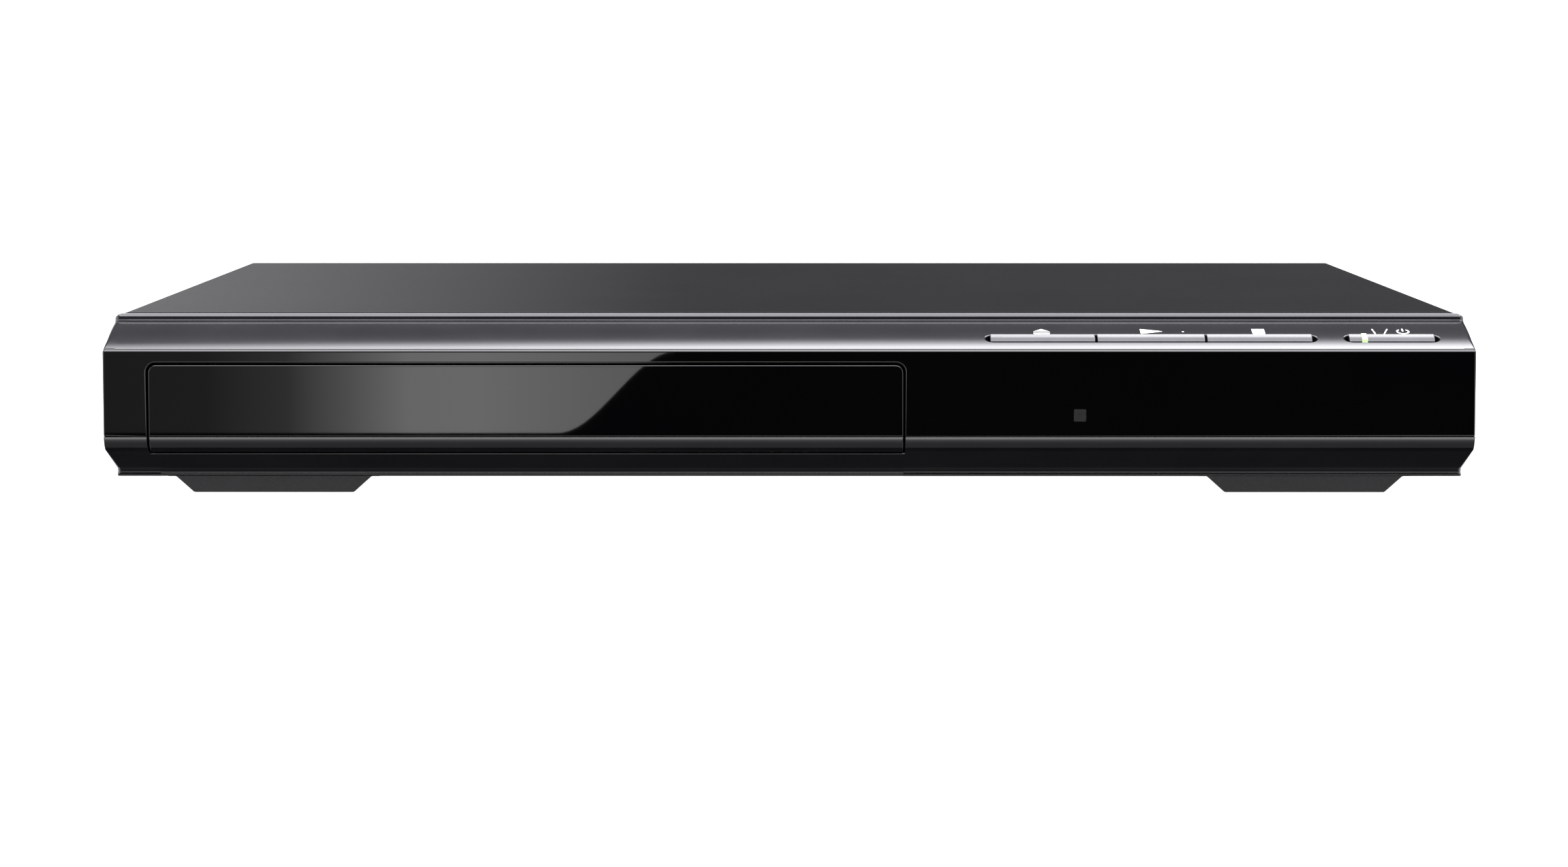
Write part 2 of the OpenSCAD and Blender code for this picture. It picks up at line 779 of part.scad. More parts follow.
// One foot: thin flange, tapered body and a boss through the chassis floor
module foot(place) {
    x = place[0];
    d = place[1];
    flange_h = foot_h * 0.43;
    flange_out = 1.8;
    taper = 3.7;
    color([0.06, 0.06, 0.065]) {
        elevation(d, d + foot_l) translate([x, 0]) polygon([
            [-foot_w / 2, 0], [foot_w / 2, 0],
            [foot_w / 2 + taper, floor_z - flange_h], [-foot_w / 2 - taper, floor_z - flange_h]
        ]);
        block(
            x - foot_w / 2 - taper - flange_out, x + foot_w / 2 + taper + flange_out,
            d, d + foot_l, floor_z - flange_h, floor_z
        );
        post(x, d + foot_l / 2, floor_z - eps, pan_z + bead_h, foot_boss_r);
    }
}

module foot_front_left() foot(foot_places[0]);
module foot_front_right() foot(foot_places[1]);
module foot_rear_left() foot(foot_places[2]);
module foot_rear_right() foot(foot_places[3]);

module cover_screws() color("silver") {
    for (x = cover_screw_x) translate([x, front_y + body_d, cover_screw_z]) rotate([-90, 0, 0]) screw(5);
}

module bottom_screws() color("silver") {
    for (x = flange_screw_x) translate([x, front_y + flange_screw_d, floor_z]) rotate([180, 0, 0]) screw(3);
}

// ---------- Keys and front board ----------

// Left end of playing key i
function play_key_x(i) =
    play_slot_x + slot_end + (i > 0 ? key_l[0] + key_gap : 0) + (i > 1 ? key_l[1] + key_gap : 0);

// Cross-section of a key: a crowned top that falls to the front, and a flange under the panel
module key_section() {
    polygon(concat(
        [[key_back, key_seat]],
        [[key_back, key_proud - 0.25], [key_back - 0.25, key_proud]],
        arc([key_back - key_w + 1.4, key_proud - 1.75], 1.7, 80, 175, 8),
        [[key_back - key_w - 0.3, key_seat]]
    ));
    area(-flange_w / 2, flange_w / 2, key_seat - flange_t, key_seat);
}

// A key of length l whose left end is at x
module key(x, l) {
    on_slope(x) {
        rotate([90, 0, 90]) linear_extrude(l) key_section();
        translate([l / 2, 0, stem_low]) cylinder(r = stem_r, h = key_seat - stem_low);
    }
}

module eject_button() color([0.12, 0.12, 0.13]) key(play_key_x(0), key_l[0]);
module play_button() color([0.12, 0.12, 0.13]) key(play_key_x(1), key_l[1]);
module stop_button() color([0.12, 0.12, 0.13]) key(play_key_x(2), key_l[2]);

// Light bar across the power key, with a neck through the key's flange, widened by play on every side
module light_bar(play = 0) {
    on_slope(key_spans[3][0] + light_x - play) rotate([90, 0, 90]) linear_extrude(light_w + 2 * play) {
        area(-key_w / 2 - play, key_back + play, key_seat - play, key_proud + 0.1 + play);
        area(-light_neck / 2 - play, light_neck / 2 + play, key_seat - flange_t - play, key_seat + eps);
    }
}

module power_button() color([0.12, 0.12, 0.13]) {
    difference() {
        key(key_spans[3][0], key_l[3]);
        light_bar(eps);
    }
}

module light_guide() color([0.75, 0.95, 0.6]) light_bar();

module front_board() color([0.1, 0.35, 0.2]) {
    on_slope() translate([play_slot_x - 4, board_front, board_w0 - board_t])
        cube([wall_half - play_slot_x - 1, board_rear - board_front, board_t]);
}

module key_switches() color([0.15, 0.15, 0.16]) {
    for (k = key_spans) on_slope(k[0] + k[1] / 2) translate([0, 0, board_w0]) {
        translate([-3, -3, 0]) cube([6, 6, switch_h - 0.9]);
        cylinder(r = 1.75, h = switch_h);
    }
}

module status_led() color([0.9, 0.95, 0.85]) {
    on_slope(key_spans[3][0] + light_x) translate([-0.6, -0.8, board_w0]) cube([2.2, 1.6, 0.8]);
}

// Height of the front board's underside at depth d
function board_under(d) = slot_z + (board_w0 - board_t + (d - slot_d) * sin(slope_deg)) / cos(slope_deg);

module ir_receiver() color([0.08, 0.07, 0.09]) {
    front = window_t + panel_wall + 1.4;
    half = 2.8;
    lead = front + 1.4;
    block(ir_x - half, ir_x + half, front, front + 3, ir_z - half, ir_z + half);
    translate([ir_x, front_y + front, ir_z]) sphere(r = ir_r);
    for (x = [ir_x - 1.8, ir_x - 0.2, ir_x + 1.4])
        block(x, x + 0.4, lead, lead + 0.4, ir_z + half - eps, board_under(lead));
}

// ---------- Tray ----------

module disc_tray() color([0.13, 0.13, 0.14]) in_loader() {
    difference() {
        union() {
            plan(tray_z, rim_top) round_area(-tray_w / 2, tray_w / 2, door_d, tray_rear, 2);
            plan(tray_z - rack_h, tray_z + 3)
                translate([rack_x, rack_start]) rack_area(gear_m, rack_teeth, rack_back);
        }
        post(0, hub_d, disc_z, rim_top + cut, disc_r);
        post(0, hub_d, small_z, rim_top + cut, small_r);
        for (a = [45, 135, 225, 315]) post(
            (disc_r + 1) * cos(a), hub_d + (disc_r + 1) * sin(a), disc_z, rim_top + cut, 8
        );
        plan(tray_z - rack_h - cut, rim_top + cut) {
            translate([0, hub_d]) circle(r = cut_r);
            area(-cut_r, cut_r, hub_d, tray_rear + cut);
        }
        plan(tray_z - cut, disc_z + 0.4) difference() {
            area(-tray_w / 2 + 2, rack_x - 4, door_d + 2, tray_rear - 2);
            translate([0, hub_d]) circle(r = disc_r + 2);
            area(-cut_r - 2, cut_r + 2, hub_d, tray_rear);
            for (a = [45, 135, 225, 315]) translate([(disc_r + 1) * cos(a), hub_d + (disc_r + 1) * sin(a)])
                circle(r = 10);
        }
    }
}

// Outline of the door behind its window plate, in depth and height, with its rounded lower edge
function door_outline() = concat(
    [[door_d, door_top], [door_d, nose_z]],
    arc([nose_r, window_z], nose_r, 270 - bevel_deg, 180, 8),
    [[window_t, window_z], [window_t, door_top]]
);

module tray_door() color([0.1, 0.1, 0.11]) in_loader() {
    intersection() {
        along_x(-door_w / 2, door_w / 2) polygon(door_outline());
        elevation(-cut, door_d + cut)
            arch_area(-door_w / 2, door_w / 2, nose_z - cut, door_top, door_r - door_gap);
    }
}

module door_window() color([0.03, 0.03, 0.035]) in_loader() {
    elevation(0, window_t) arch_area(-door_w / 2, door_w / 2, window_z, door_top, door_r - door_gap);
}

// ---------- Loader ----------

// Hook over the tray's edge, on the right-hand side
module guide_hook(d, l) {
    block(guide_half - 2, frame_half, d, d + l, hook_z, hook_z + hook_t);
    block(guide_half, frame_half, d, d + l, wall_z - cut, hook_z + cut);
}

// Right-hand wall, ledge, hooks and bridge boss of the loader frame
module frame_side() {
    block(guide_half, frame_half, frame_front, frame_rear, frame_z, wall_z);
    block(guide_half, frame_half, rail_front, frame_front + cut, beam_z, wall_z);
    block(guide_half - 4.4, guide_half + cut, rail_front, frame_rear, tray_z - 3.4, tray_z - guide_gap);
    for (d = [rail_front + 4, hub_d - 5, frame_rear - 22]) guide_hook(d, 10);
    for (d = bridge_hole_d) {
        post(boss_x, d, frame_z, hook_z + hook_t, boss_r);
        block(frame_half - cut, boss_x, d - 1, d + 1, frame_z, hook_z + hook_t);
    }
}

module loader_frame() color([0.2, 0.2, 0.22]) in_loader() {
    difference() {
        union() {
            plan(frame_z, deck_z) area(-frame_half, frame_half, frame_front, frame_rear);
            for (side = [-1, 1]) mirror_side(side) frame_side();
            block(-frame_half, frame_half, rail_front, rail_front + 2, beam_z, beam_z + beam_h);
            block(-frame_half, frame_half, frame_rear - 1.6, frame_rear, frame_z, wall_z);
            post(motor_x, train_d, frame_z, motor_top + 1.4, motor_r + motor_ring);
            for (x = [drive_x, pulley_x]) {
                post(x, train_d, deck_z - eps, wheel_z0 - 0.1, 3.2);
                post(x, train_d, deck_z - eps, tray_z - 0.3, post_r);
            }
            for (side = [-1, 1]) mirror_side(side)
                block(
                    open_half - eps, open_half + hinge_w, hinge_d - 5, hinge_d + 5,
                    frame_z, hinge_z + hinge_r + frame_t
                );
        }
        plan(frame_z - cut, deck_z + cut) area(-open_half, open_half, slider_d + slider_t + 1.2, hinge_d + 7);
        post(motor_x, train_d, frame_z - cut, motor_top, motor_r + 0.15);
        post(motor_x, train_d, frame_z, motor_top + 4, 3.6);
        for (side = [-1, 1]) mirror_side(side) {
            translate([open_half - cut, front_y + hinge_d, hinge_z]) rotate([0, 90, 0])
                cylinder(r = hinge_r + running, h = hinge_w + 2 * cut + eps);
            for (d = bridge_hole_d) post(boss_x, d, hook_z - 6, hook_z + hook_t + cut, hole_r);
            for (d = loader_hole_d) post(loader_hole_x, d, frame_z - cut, deck_z + cut, hole_r);
        }
    }
}

module loader_bushes() color([0.08, 0.08, 0.08]) {
    for (h = loader_holes) difference() {
        post(h[0], h[1], pan_z, frame_z, 4.2);
        post(h[0], h[1], pan_z - cut, frame_z + cut, hole_r);
    }
}

module loader_screws() color("silver") {
    for (h = loader_holes) translate([h[0], front_y + h[1], deck_z]) screw(deck_z - floor_z);
}

module clamp_bridge() color([0.7, 0.71, 0.72]) in_loader() {
    rear = bridge_front + bridge_l;
    difference() {
        union() {
            plan(bridge_z, bridge_z + bridge_t)
                round_area(-boss_x - boss_r, boss_x + boss_r, bridge_front, rear, 3);
            for (side = [-1, 1]) mirror_side(side)
                block(
                    boss_x - boss_r, boss_x + boss_r, bridge_front + 1.7, rear - 1.7,
                    hook_z + hook_t, bridge_z + eps
                );
            plan(bridge_z + bridge_t - eps, bridge_z + bridge_t + 1) for (d = [bridge_front, rear - 1.4])
                area(-boss_x + boss_r, boss_x - boss_r, d, d + 1.4);
        }
        post(0, hub_d, bridge_z - cut, bridge_z + 4, clamp_r + 1.2);
        for (side = [-1, 1]) mirror_side(side) {
            for (d = bridge_hole_d) post(boss_x, d, hook_z, bridge_z + 3, hole_r);
            plan(bridge_z - cut, bridge_z + 3) translate([40, hub_d]) rotate(90) stadium(22, 12);
        }
    }
}

module bridge_screws() color("silver") in_loader() {
    for (side = [-1, 1], d = bridge_hole_d)
        translate([side * boss_x, front_y + d, bridge_z + bridge_t]) screw(5);
}

// Clamper: a ring that presses the disc down, hung by its flange in the bridge
module clamper() color([0.85, 0.85, 0.83]) in_loader() {
    low = seat_z + clamp_gap;
    flange_z = bridge_z + bridge_t + 0.35;
    translate([0, front_y + hub_d, 0]) rotate_extrude() polygon([
        [8.4, low], [clamp_r, low], [clamp_r, flange_z], [clamp_r + 4, flange_z],
        [clamp_r + 4, flange_z + 1], [12, flange_z + 1], [10.8, flange_z + 2.2], [0, flange_z + 2.2],
        [0, flange_z + 1], [9.4, flange_z + 1], [9.4, low + 2.6], [8.4, low + 2.6]
    ]);
}

module clamper_magnet() color([0.3, 0.3, 0.32]) in_loader() {
    low = seat_z + clamp_gap + 2.6;
    difference() {
        post(0, hub_d, low, low + 2.2, 9.3);
        post(0, hub_d, low - cut, low + 4, 4);
    }
}

module loading_motor() color([0.75, 0.76, 0.77]) in_loader() {
    low = frame_z - 0.4;
    difference() {
        union() {
            post(motor_x, train_d, low, motor_top, motor_r);
            post(motor_x, train_d, motor_top - eps, motor_top + 1.2, 3.4);
        }
        post(motor_x, train_d, motor_top - 2, motor_top + 2, 1 + running);
        for (side = [-1, 1]) post(motor_x + side * 7, train_d, low - cut, low + 0.6, 1.6);
    }
}

// Belt pulley: two rims and a groove, its section revolved
module pulley(r) {
    groove_r = r - groove_deep;
    wide = 0.6 * pulley_half;
    narrow = wide - groove_deep / 4;
    translate([0, 0, belt_z]) rotate_extrude() polygon([
        [0, -pulley_half], [r, -pulley_half], [r, -wide], [groove_r, -narrow],
        [groove_r, narrow], [r, wide], [r, pulley_half], [0, pulley_half]
    ]);
}

module motor_pulley() color([0.8, 0.68, 0.35]) in_loader() {
    translate([motor_x, front_y + train_d, 0]) pulley(motor_pulley_r);
    post(motor_x, train_d, motor_top - 1.8, belt_z, 1);
}

module drive_belt() color([0.05, 0.05, 0.05]) in_loader() {
    inner = 0.06 - groove_deep;
    plan(belt_z - belt_s / 2, belt_z + belt_s / 2) difference() {
        hull() {
            translate([motor_x, train_d]) circle(r = motor_pulley_r + inner + belt_s, $fn = 64);
            translate([pulley_x, train_d]) circle(r = pulley_r + inner + belt_s, $fn = 96);
        }
        hull() {
            translate([motor_x, train_d]) circle(r = motor_pulley_r + inner, $fn = 64);
            translate([pulley_x, train_d]) circle(r = pulley_r + inner, $fn = 96);
        }
    }
}

// Gear on a fixed post, its bore running on the post
module gear_on_post(x, z0, z1) {
    difference() {
        translate([x, front_y + train_d, 0]) children();
        post(x, train_d, z0 - cut, z1 + cut, post_r + running);
    }
}

module pulley_gear() color([0.92, 0.92, 0.88]) in_loader() {
    gear_on_post(pulley_x, wheel_z0, belt_z + 2) {
        translate([0, 0, wheel_z0]) linear_extrude(wheel_t)
            rotate(180 / pulley_z) gear_area(gear_m, pulley_z);
        translate([0, 0, wheel_z0 + wheel_t - eps]) cylinder(r = 4, h = belt_z - wheel_z0 - wheel_t);
        pulley(pulley_r);
    }
}

module drive_gear() color([0.95, 0.93, 0.85]) in_loader() {
    gear_on_post(drive_x, wheel_z0, tray_z) {
        difference() {
            translate([0, 0, wheel_z0]) linear_extrude(wheel_t)
                rotate(180) gear_area(gear_m, wheel_z);
            translate([0, 0, wheel_z0 + 1.8]) difference() {
                cylinder(r = gear_m * wheel_z / 2 - 3, h = wheel_t);
                cylinder(r = 5, h = wheel_t);
            }
        }
        translate([0, 0, wheel_z0]) cylinder(r = 5, h = tray_z - rack_h - 0.4 - wheel_z0);
        translate([0, 0, tray_z - rack_h - 0.5]) linear_extrude(rack_h + 0.2) gear_area(gear_m, pinion_z);
    }
}

module cam_slider() color([0.9, 0.9, 0.9]) in_loader() {
    groove_w = 2 * (cam_pin_r + cam_slack);
    groove_l = norm([cam_travel, cam_drop]) + groove_w;
    difference() {
        elevation(slider_d, slider_d + slider_t)
            round_area(-cam_pin_x - cam_travel - 5, cam_pin_x + 5, slider_z, slider_z + slider_h, 1);
        for (side = [-1, 1]) elevation(slider_d - cut, slider_d + slider_t + cut)
            translate([side * cam_pin_x - cam_travel / 2, cam_pin_z - cam_drop / 2])
                rotate(atan(cam_drop / cam_travel)) stadium(groove_l, groove_w);
    }
}

// ---------- Traverse ----------

module traverse_frame() color([0.35, 0.36, 0.38]) in_loader() {
    low = traverse_top - traverse_t;
    difference() {
        union() {
            plan(low, traverse_top) area(-traverse_half, traverse_half, traverse_front, traverse_rear);
            elevation(traverse_front, traverse_front + traverse_lip)
                area(-traverse_half, traverse_half, low - traverse_lip, cam_pin_z + 2.6);
            for (side = [-1, 1]) mirror_side(side) {
                elevation(traverse_front, traverse_rear)
                    area(traverse_half - 1.6, traverse_half, low - 2, traverse_top);
                block(traverse_half - 6, traverse_half, traverse_rear - cut, hinge_d + 3, low, traverse_top);
                for (d = [rod_front, rod_rear - 2.6])
                    block(rod_x - 3, rod_x + 3, d, d + 2.6, traverse_top - eps, rod_z + rod_r + 0.9);
                translate([traverse_half - cut, front_y + hinge_d, hinge_z]) rotate([0, 90, 0])
                    cylinder(r = hinge_r, h = open_half - traverse_half + 5 + cut);
                rod(cam_pin_x, cam_pin_z, slider_d - 0.8, traverse_front + cut, cam_pin_r);
            }
            post(feed_x, feed_d, traverse_top - eps, feed_big_z + feed_big_t + 0.1, 1);
        }
        post(0, hub_d, low - cut, traverse_top + cut, spindle_r + 0.1);
        plan(low - cut, traverse_top + cut) area(-rod_x - 5.2, rod_x + 2.8, sled_d - 1.6, rod_rear - 2.8);
        for (side = [-1, 1]) rod(side * rod_x, rod_z, rod_front - cut, rod_rear + cut, rod_r);
        post(feed_x, feed_motor_d, low - cut, traverse_top + cut, feed_motor_r + 0.1);
        plan(traverse_top - motor_plate_t, traverse_top + cut) motor_plate(0.1);
    }
}

// Outline of the feed motor's mounting plate, widened by play on every side
module motor_plate(play = 0) {
    front = feed_motor_d - 7.6 - play;
    rear = feed_motor_d + 3.4 + play;
    round_area(feed_x - 6 - play, feed_x + 8 + play, front, rear, 1.5);
}

module spindle_motor() color([0.78, 0.79, 0.8]) in_loader() {
    top = seat_z - 3.4;
    difference() {
        union() {
            post(0, hub_d, sled_z - 0.6, traverse_top, spindle_r);
            post(0, hub_d, traverse_top, traverse_top + 0.8, spindle_flange_r);
            post(0, hub_d, traverse_top, top, 7);
        }
        post(0, hub_d, top - 6, top + cut, 1 + running);
    }
}

module turntable() color([0.85, 0.86, 0.87]) in_loader() {
    low = seat_z - 3.1;
    under = seat_z - pad_t - 1.6;
    translate([0, front_y + hub_d, 0]) rotate_extrude() polygon([
        [0, low - 5], [1, low - 5], [1, low], [7, low], [seat_r - 1, under], [seat_r, under],
        [seat_r, seat_z - pad_t], [cone_r + 0.6, seat_z - pad_t], [cone_r, seat_z],
        [cone_r - 0.4, seat_z + 0.6], [cone_r - 1.6, seat_z + cone_h], [0, seat_z + cone_h]
    ]);
}

module turntable_pad() color([0.12, 0.12, 0.12]) in_loader() {
    difference() {
        post(0, hub_d, seat_z - pad_t, seat_z, seat_r - 0.2);
        post(0, hub_d, seat_z - pad_t - cut, seat_z + cut, cone_r + 2.4);
    }
}

module guide_rods() color([0.8, 0.81, 0.82]) in_loader() {
    for (side = [-1, 1]) rod(side * rod_x, rod_z, rod_front, rod_rear, rod_r);
}

module pickup_sled() color([0.45, 0.46, 0.48]) in_loader() {
    boss = rod_r + 0.9;
    top = sled_z + sled_h;
    inner = rod_x - boss - 0.2;
    difference() {
        union() {
            plan(sled_z, top) round_area(-inner, inner, sled_d, sled_d + sled_l, 2);
            rod(rod_x, rod_z, sled_d, sled_d + sled_l, boss);
            block(inner - cut, rod_x, sled_d, sled_d + sled_l, rod_z - boss, rod_z);
            block(-rod_x - rod_r - 0.4, -inner + cut, sled_d + 6, sled_d + 14, rod_z - boss, rod_z + boss);
            plan(top - eps, top + 1.8) round_area(-10, 10, sled_d + 2.5, sled_d + 16.5, 1.5);
            plan(feed_z0, feed_z0 + feed_t) {
                translate([feed_rack_x, feed_rack_start]) mirror([1, 0])
                    rack_area(feed_m, feed_rack_teeth, 2.2);
                area(rod_x, feed_rack_x - 1.4, sled_d + 8, sled_d + sled_l);
            }
        }
        rod(rod_x, rod_z, sled_d - cut, sled_d + sled_l + cut, rod_r + running);
        elevation(sled_d - cut, sled_d + sled_l + cut) translate([-rod_x, rod_z])
            area(-rod_r - cut, rod_r + 0.3, -rod_r - running, rod_r + running);
        post(0, hub_d + lens_in, top - 3, top + 3, 4.2);
        plan(sled_z - cut, sled_z + 3) round_area(-inner + 3, inner - 3, sled_d + 3, sled_d + sled_l - 3, 1);
    }
}

module objective_lens() color([0.55, 0.6, 0.75]) in_loader() {
    low = sled_z + sled_h - 3;
    lens = hub_d + lens_in;
    post(0, lens, low, low + 3.6, 4);
    intersection() {
        post(0, lens, low + 3.6 - eps, low + 4.4, 2.3);
        translate([0, front_y + lens, low - 1.2]) sphere(r = 5.5);
    }
}

module feed_motor() color([0.75, 0.76, 0.77]) in_loader() {
    difference() {
        union() {
            post(feed_x, feed_motor_d, feed_motor_z, traverse_top, feed_motor_r);
            plan(traverse_top - motor_plate_t, traverse_top) motor_plate();
        }
        post(feed_x, feed_motor_d, traverse_top - 3, traverse_top + cut, 0.8 + running);
    }
}

module feed_pinion() color([0.92, 0.92, 0.88]) in_loader() {
    translate([feed_x, front_y + feed_motor_d, 0]) {
        translate([0, 0, feed_big_z]) linear_extrude(feed_big_t) rotate(90 + 180 / feed_pinion_z)
            gear_area(feed_m, feed_pinion_z, feed_play);
        translate([0, 0, traverse_top - 2.6]) cylinder(r = 0.8, h = feed_big_z - traverse_top + 2.7);
    }
}

module feed_gear() color([0.95, 0.93, 0.85]) in_loader() {
    difference() {
        translate([feed_x, front_y + feed_d, 0]) {
            translate([0, 0, feed_z0]) linear_extrude(feed_t + 0.45)
                rotate(180) gear_area(feed_m, feed_small_z, feed_play);
            translate([0, 0, feed_big_z]) linear_extrude(feed_big_t)
                rotate(-90) gear_area(feed_m, feed_large_z, feed_play);
        }
        post(feed_x, feed_d, feed_z0 - cut, feed_big_z + 3, 1 + running);
    }
}

// ---------- Boards ----------

// Board with its screw holes
module board(x, d, w, l, holes) {
    difference() {
        block(x, x + w, d, d + l, board_z, board_top);
        for (h = holes) post(h[0], h[1], board_z - cut, board_top + cut, hole_r);
    }
}

// Box of height h on a board: its left and front edge, width and depth are shares of the board's
module on_main(x, d, w, l, h) {
    block(
        main_x + x * main_w, main_x + (x + w) * main_w, main_d + d * main_l, main_d + (d + l) * main_l,
        board_top, board_top + h
    );
}

module on_power(x, d, w, l, h) {
    block(
        power_x + x * power_w, power_x + (x + w) * power_w,
        power_d + d * power_l, power_d + (d + l) * power_l, board_top, board_top + h
    );
}

module main_board() color([0.08, 0.32, 0.18]) board(main_x, main_d, main_w, main_l, main_holes);
module power_board() color([0.45, 0.33, 0.15]) board(power_x, power_d, power_w, power_l, power_holes);

module decoder_chips() color([0.07, 0.07, 0.08]) {
    on_main(0.3, 0.3, 0.35, 0.23, 1.6);
    on_main(0.72, 0.32, 0.19, 0.2, 1.2);
    on_main(0.25, 0.61, 0.14, 0.09, 1.4);
    for (i = [0:3]) on_main(0.49 + 0.105 * i, 0.62, 0.05, 0.05, 1.5);
    for (i = [0:4]) post(
        main_x + 0.14 * main_w, main_d + (0.21 + 0.1 * i) * main_l, board_top, board_top + 5.4, 0.044 * main_w
    );
}

module board_connectors() color([0.9, 0.89, 0.84]) {
    plug_w = ribbon_w / 2 + 2;
    plug_h = 7;
    block(
        ribbon_x - plug_w, ribbon_x + plug_w, main_d + 1, main_d + 5.5, board_top, board_top + ribbon_socket_h
    );
    on_main(0.175, 0.115, 0.28, 0.057, 2.4);
    on_main(0.895, 0.57, 0.087, 0.18, plug_h);
    on_power(0.03, 0.46, 0.105, 0.135, plug_h);
}

module socket_block() color([0.12, 0.12, 0.13]) {
    half = jack_pitch / 2 - 0.3;
    over = 6;
    columns = [for (i = [0:3]) jack_x + i * jack_pitch];
    difference() {
        union() {
            elevation(socket_rear - block_d, socket_rear) {
                area(columns[0] - half, columns[2] + half, board_top, row_z[1] + over);
                area(columns[3] - half + 0.4, columns[3] + half, board_top, row_z[0] + over);
            }
            for (j = sockets) rod(j[0], j[1], socket_rear - eps, collar_rear, collar_r);
        }
        for (j = sockets) rod(j[0], j[1], socket_rear - socket_bore, collar_rear + cut, sleeve_root_r);
    }
}

module socket_sleeves() color([0.82, 0.8, 0.72]) {
    for (j = sockets) difference() {
        union() {
            rod(j[0], j[1], socket_rear - socket_bore, body_d + jack_out - 1, sleeve_root_r);
            rod(j[0], j[1], sleeve_step, body_d + jack_out, sleeve_r);
        }
        rod(j[0], j[1], socket_rear - socket_bore - cut, body_d + jack_out + cut, core_r);
    }
}

module socket_cores() color([0.8, 0.8, 0.8]) {
    contact_r = 1.65;
    for (j = sockets) difference() {
        rod(j[0], j[1], socket_rear - socket_bore, body_d + jack_out - 0.5, core_r);
        rod(j[0], j[1], socket_rear + 1, body_d + jack_out, contact_r);
    }
}

// Transformer: two core halves round a taped winding, on a bobbin with two rows of pins
module transformer() color([0.75, 0.6, 0.2]) {
    x = power_x + power_w / 2;
    d = power_d + power_l * 0.62;
    core = [power_w * 0.35, 10];
    winding = [core[0] - 3.5, core[1] + 1.5];
    bobbin_h = 3;
    core_h = 5;
    winding_h = 8;
    low = board_top + bobbin_h;
    high = low + core_h + winding_h;
    for (z = [low, high])
        block(x - core[0], x + core[0], d - core[1], d + core[1], z, z + core_h);
    block(
        x - winding[0], x + winding[0], d - winding[1], d + winding[1], low + core_h - eps, high + eps
    );
    for (row_d = [d - core[1] - 2.5, d + core[1] - 1])
        block(x - winding[0], x + winding[0], row_d, row_d + 3.5, board_top, low + eps);
    block(x - 6, x + 6, d - core[1], d + core[1], board_top + 1, low + eps);
}

// Capacitors: place as shares of the power board, radius as a share of its width, and height
module capacitor() color([0.1, 0.14, 0.35]) {
    crimp_z = 2;
    crimp = 0.6;
    edge = 0.8;
    for (c = [[0.32, 0.17, 0.216, 22], [0.73, 0.13, 0.135, 16], [0.27, 0.33, 0.108, 13]])
        let (r = c[2] * power_w, h = c[3])
        translate([power_x + c[0] * power_w, front_y + power_d + c[1] * power_l, board_top])
            rotate_extrude() polygon([
                [0, 0], [r, 0], [r, crimp_z], [r - crimp, crimp_z + crimp], [r, crimp_z + 2 * crimp],
                [r, h - edge], [r - edge, h], [r - 2 * edge, h], [r - 2.2 * edge, h - edge / 2],
                [0, h - edge / 2]
            ]);
}

// Heatsink: an upright plate with a row of fins
module heatsink() color([0.75, 0.76, 0.77]) {
    x = power_x + power_w * 0.81;
    d = power_d + power_l * 0.37;
    half = power_l * 0.12;
    high = 18;
    fins = 6;
    fin_pitch = (2 * half - 2) / (fins - 1);
    block(x - 1, x + 1, d - half, d + half, board_top, board_top + high);
    for (i = [0:fins - 1]) let (fin_d = d - half + 0.5 + i * fin_pitch)
        block(x + 1 - eps, x + 5, fin_d, fin_d + 1, board_top + 2, board_top + high);
}

module insulating_sheet() color([0.85, 0.85, 0.8]) {
    difference() {
        plan(pan_z + bead_h + eps, pan_z + bead_h + 0.3)
            area(power_x - 0.5, power_x + power_w + 0.5, power_d, power_d + power_l - 12);
        for (h = power_holes) post(h[0], h[1], pan_z, pan_z + 2, 2 * screw_r + 0.4);
    }
}

module board_screws() color("silver") {
    for (h = board_holes) translate([h[0], front_y + h[1], board_top]) screw(4);
}

// Bush that lines the mains cord's hole
module cord_gland() color([0.07, 0.07, 0.07]) {
    difference() {
        union() {
            rod(gland_x, gland_z, back_d - gland_l, back_d, gland_r + gland_wall);
            rod(gland_x, gland_z, back_d, back_d + 1.6, gland_r + gland_wall + 1.3);
            rod(gland_x, gland_z, back_d - gland_l, back_d - chassis_t - eps, gland_r + gland_wall + 0.7);
        }
        rod(gland_x, gland_z, back_d - gland_l - cut, back_d + 3, gland_r);
    }
}

// Ribbon cable from the front board down to the main board, as a band along an S-shaped path
function ribbon_path(n) = [
    for (i = [0:n]) let (t = i / n, s = t * t * (3 - 2 * t)) ribbon_from + [
        (ribbon_to[0] - ribbon_from[0]) * t, (ribbon_to[1] - ribbon_from[1]) * s
    ]
];

module front_ribbon() color([0.85, 0.87, 0.9]) {
    path = ribbon_path(16);
    along_x(ribbon_x - ribbon_w / 2, ribbon_x + ribbon_w / 2) polygon(concat(
        path, [for (i = [16:-1:0]) path[i] + [0, ribbon_t]]
    ));
}

bottom_chassis();
top_cover();
rear_panel();
front_panel();
front_window();
foot_front_left();
foot_front_right();
foot_rear_left();
foot_rear_right();
cover_screws();
bottom_screws();
loader_screws();
bridge_screws();
board_screws();
eject_button();
play_button();
stop_button();
power_button();
light_guide();
front_board();
key_switches();
status_led();
ir_receiver();
disc_tray();
tray_door();
door_window();
loader_frame();
loader_bushes();
clamp_bridge();
clamper();
clamper_magnet();
loading_motor();
motor_pulley();
drive_belt();
pulley_gear();
drive_gear();
cam_slider();
traverse_frame();
spindle_motor();
turntable();
turntable_pad();
guide_rods();
pickup_sled();
objective_lens();
feed_motor();
feed_pinion();
feed_gear();
main_board();
decoder_chips();
board_connectors();
socket_block();
socket_sleeves();
socket_cores();
power_board();
transformer();
capacitor();
heatsink();
insulating_sheet();
cord_gland();
front_ribbon();
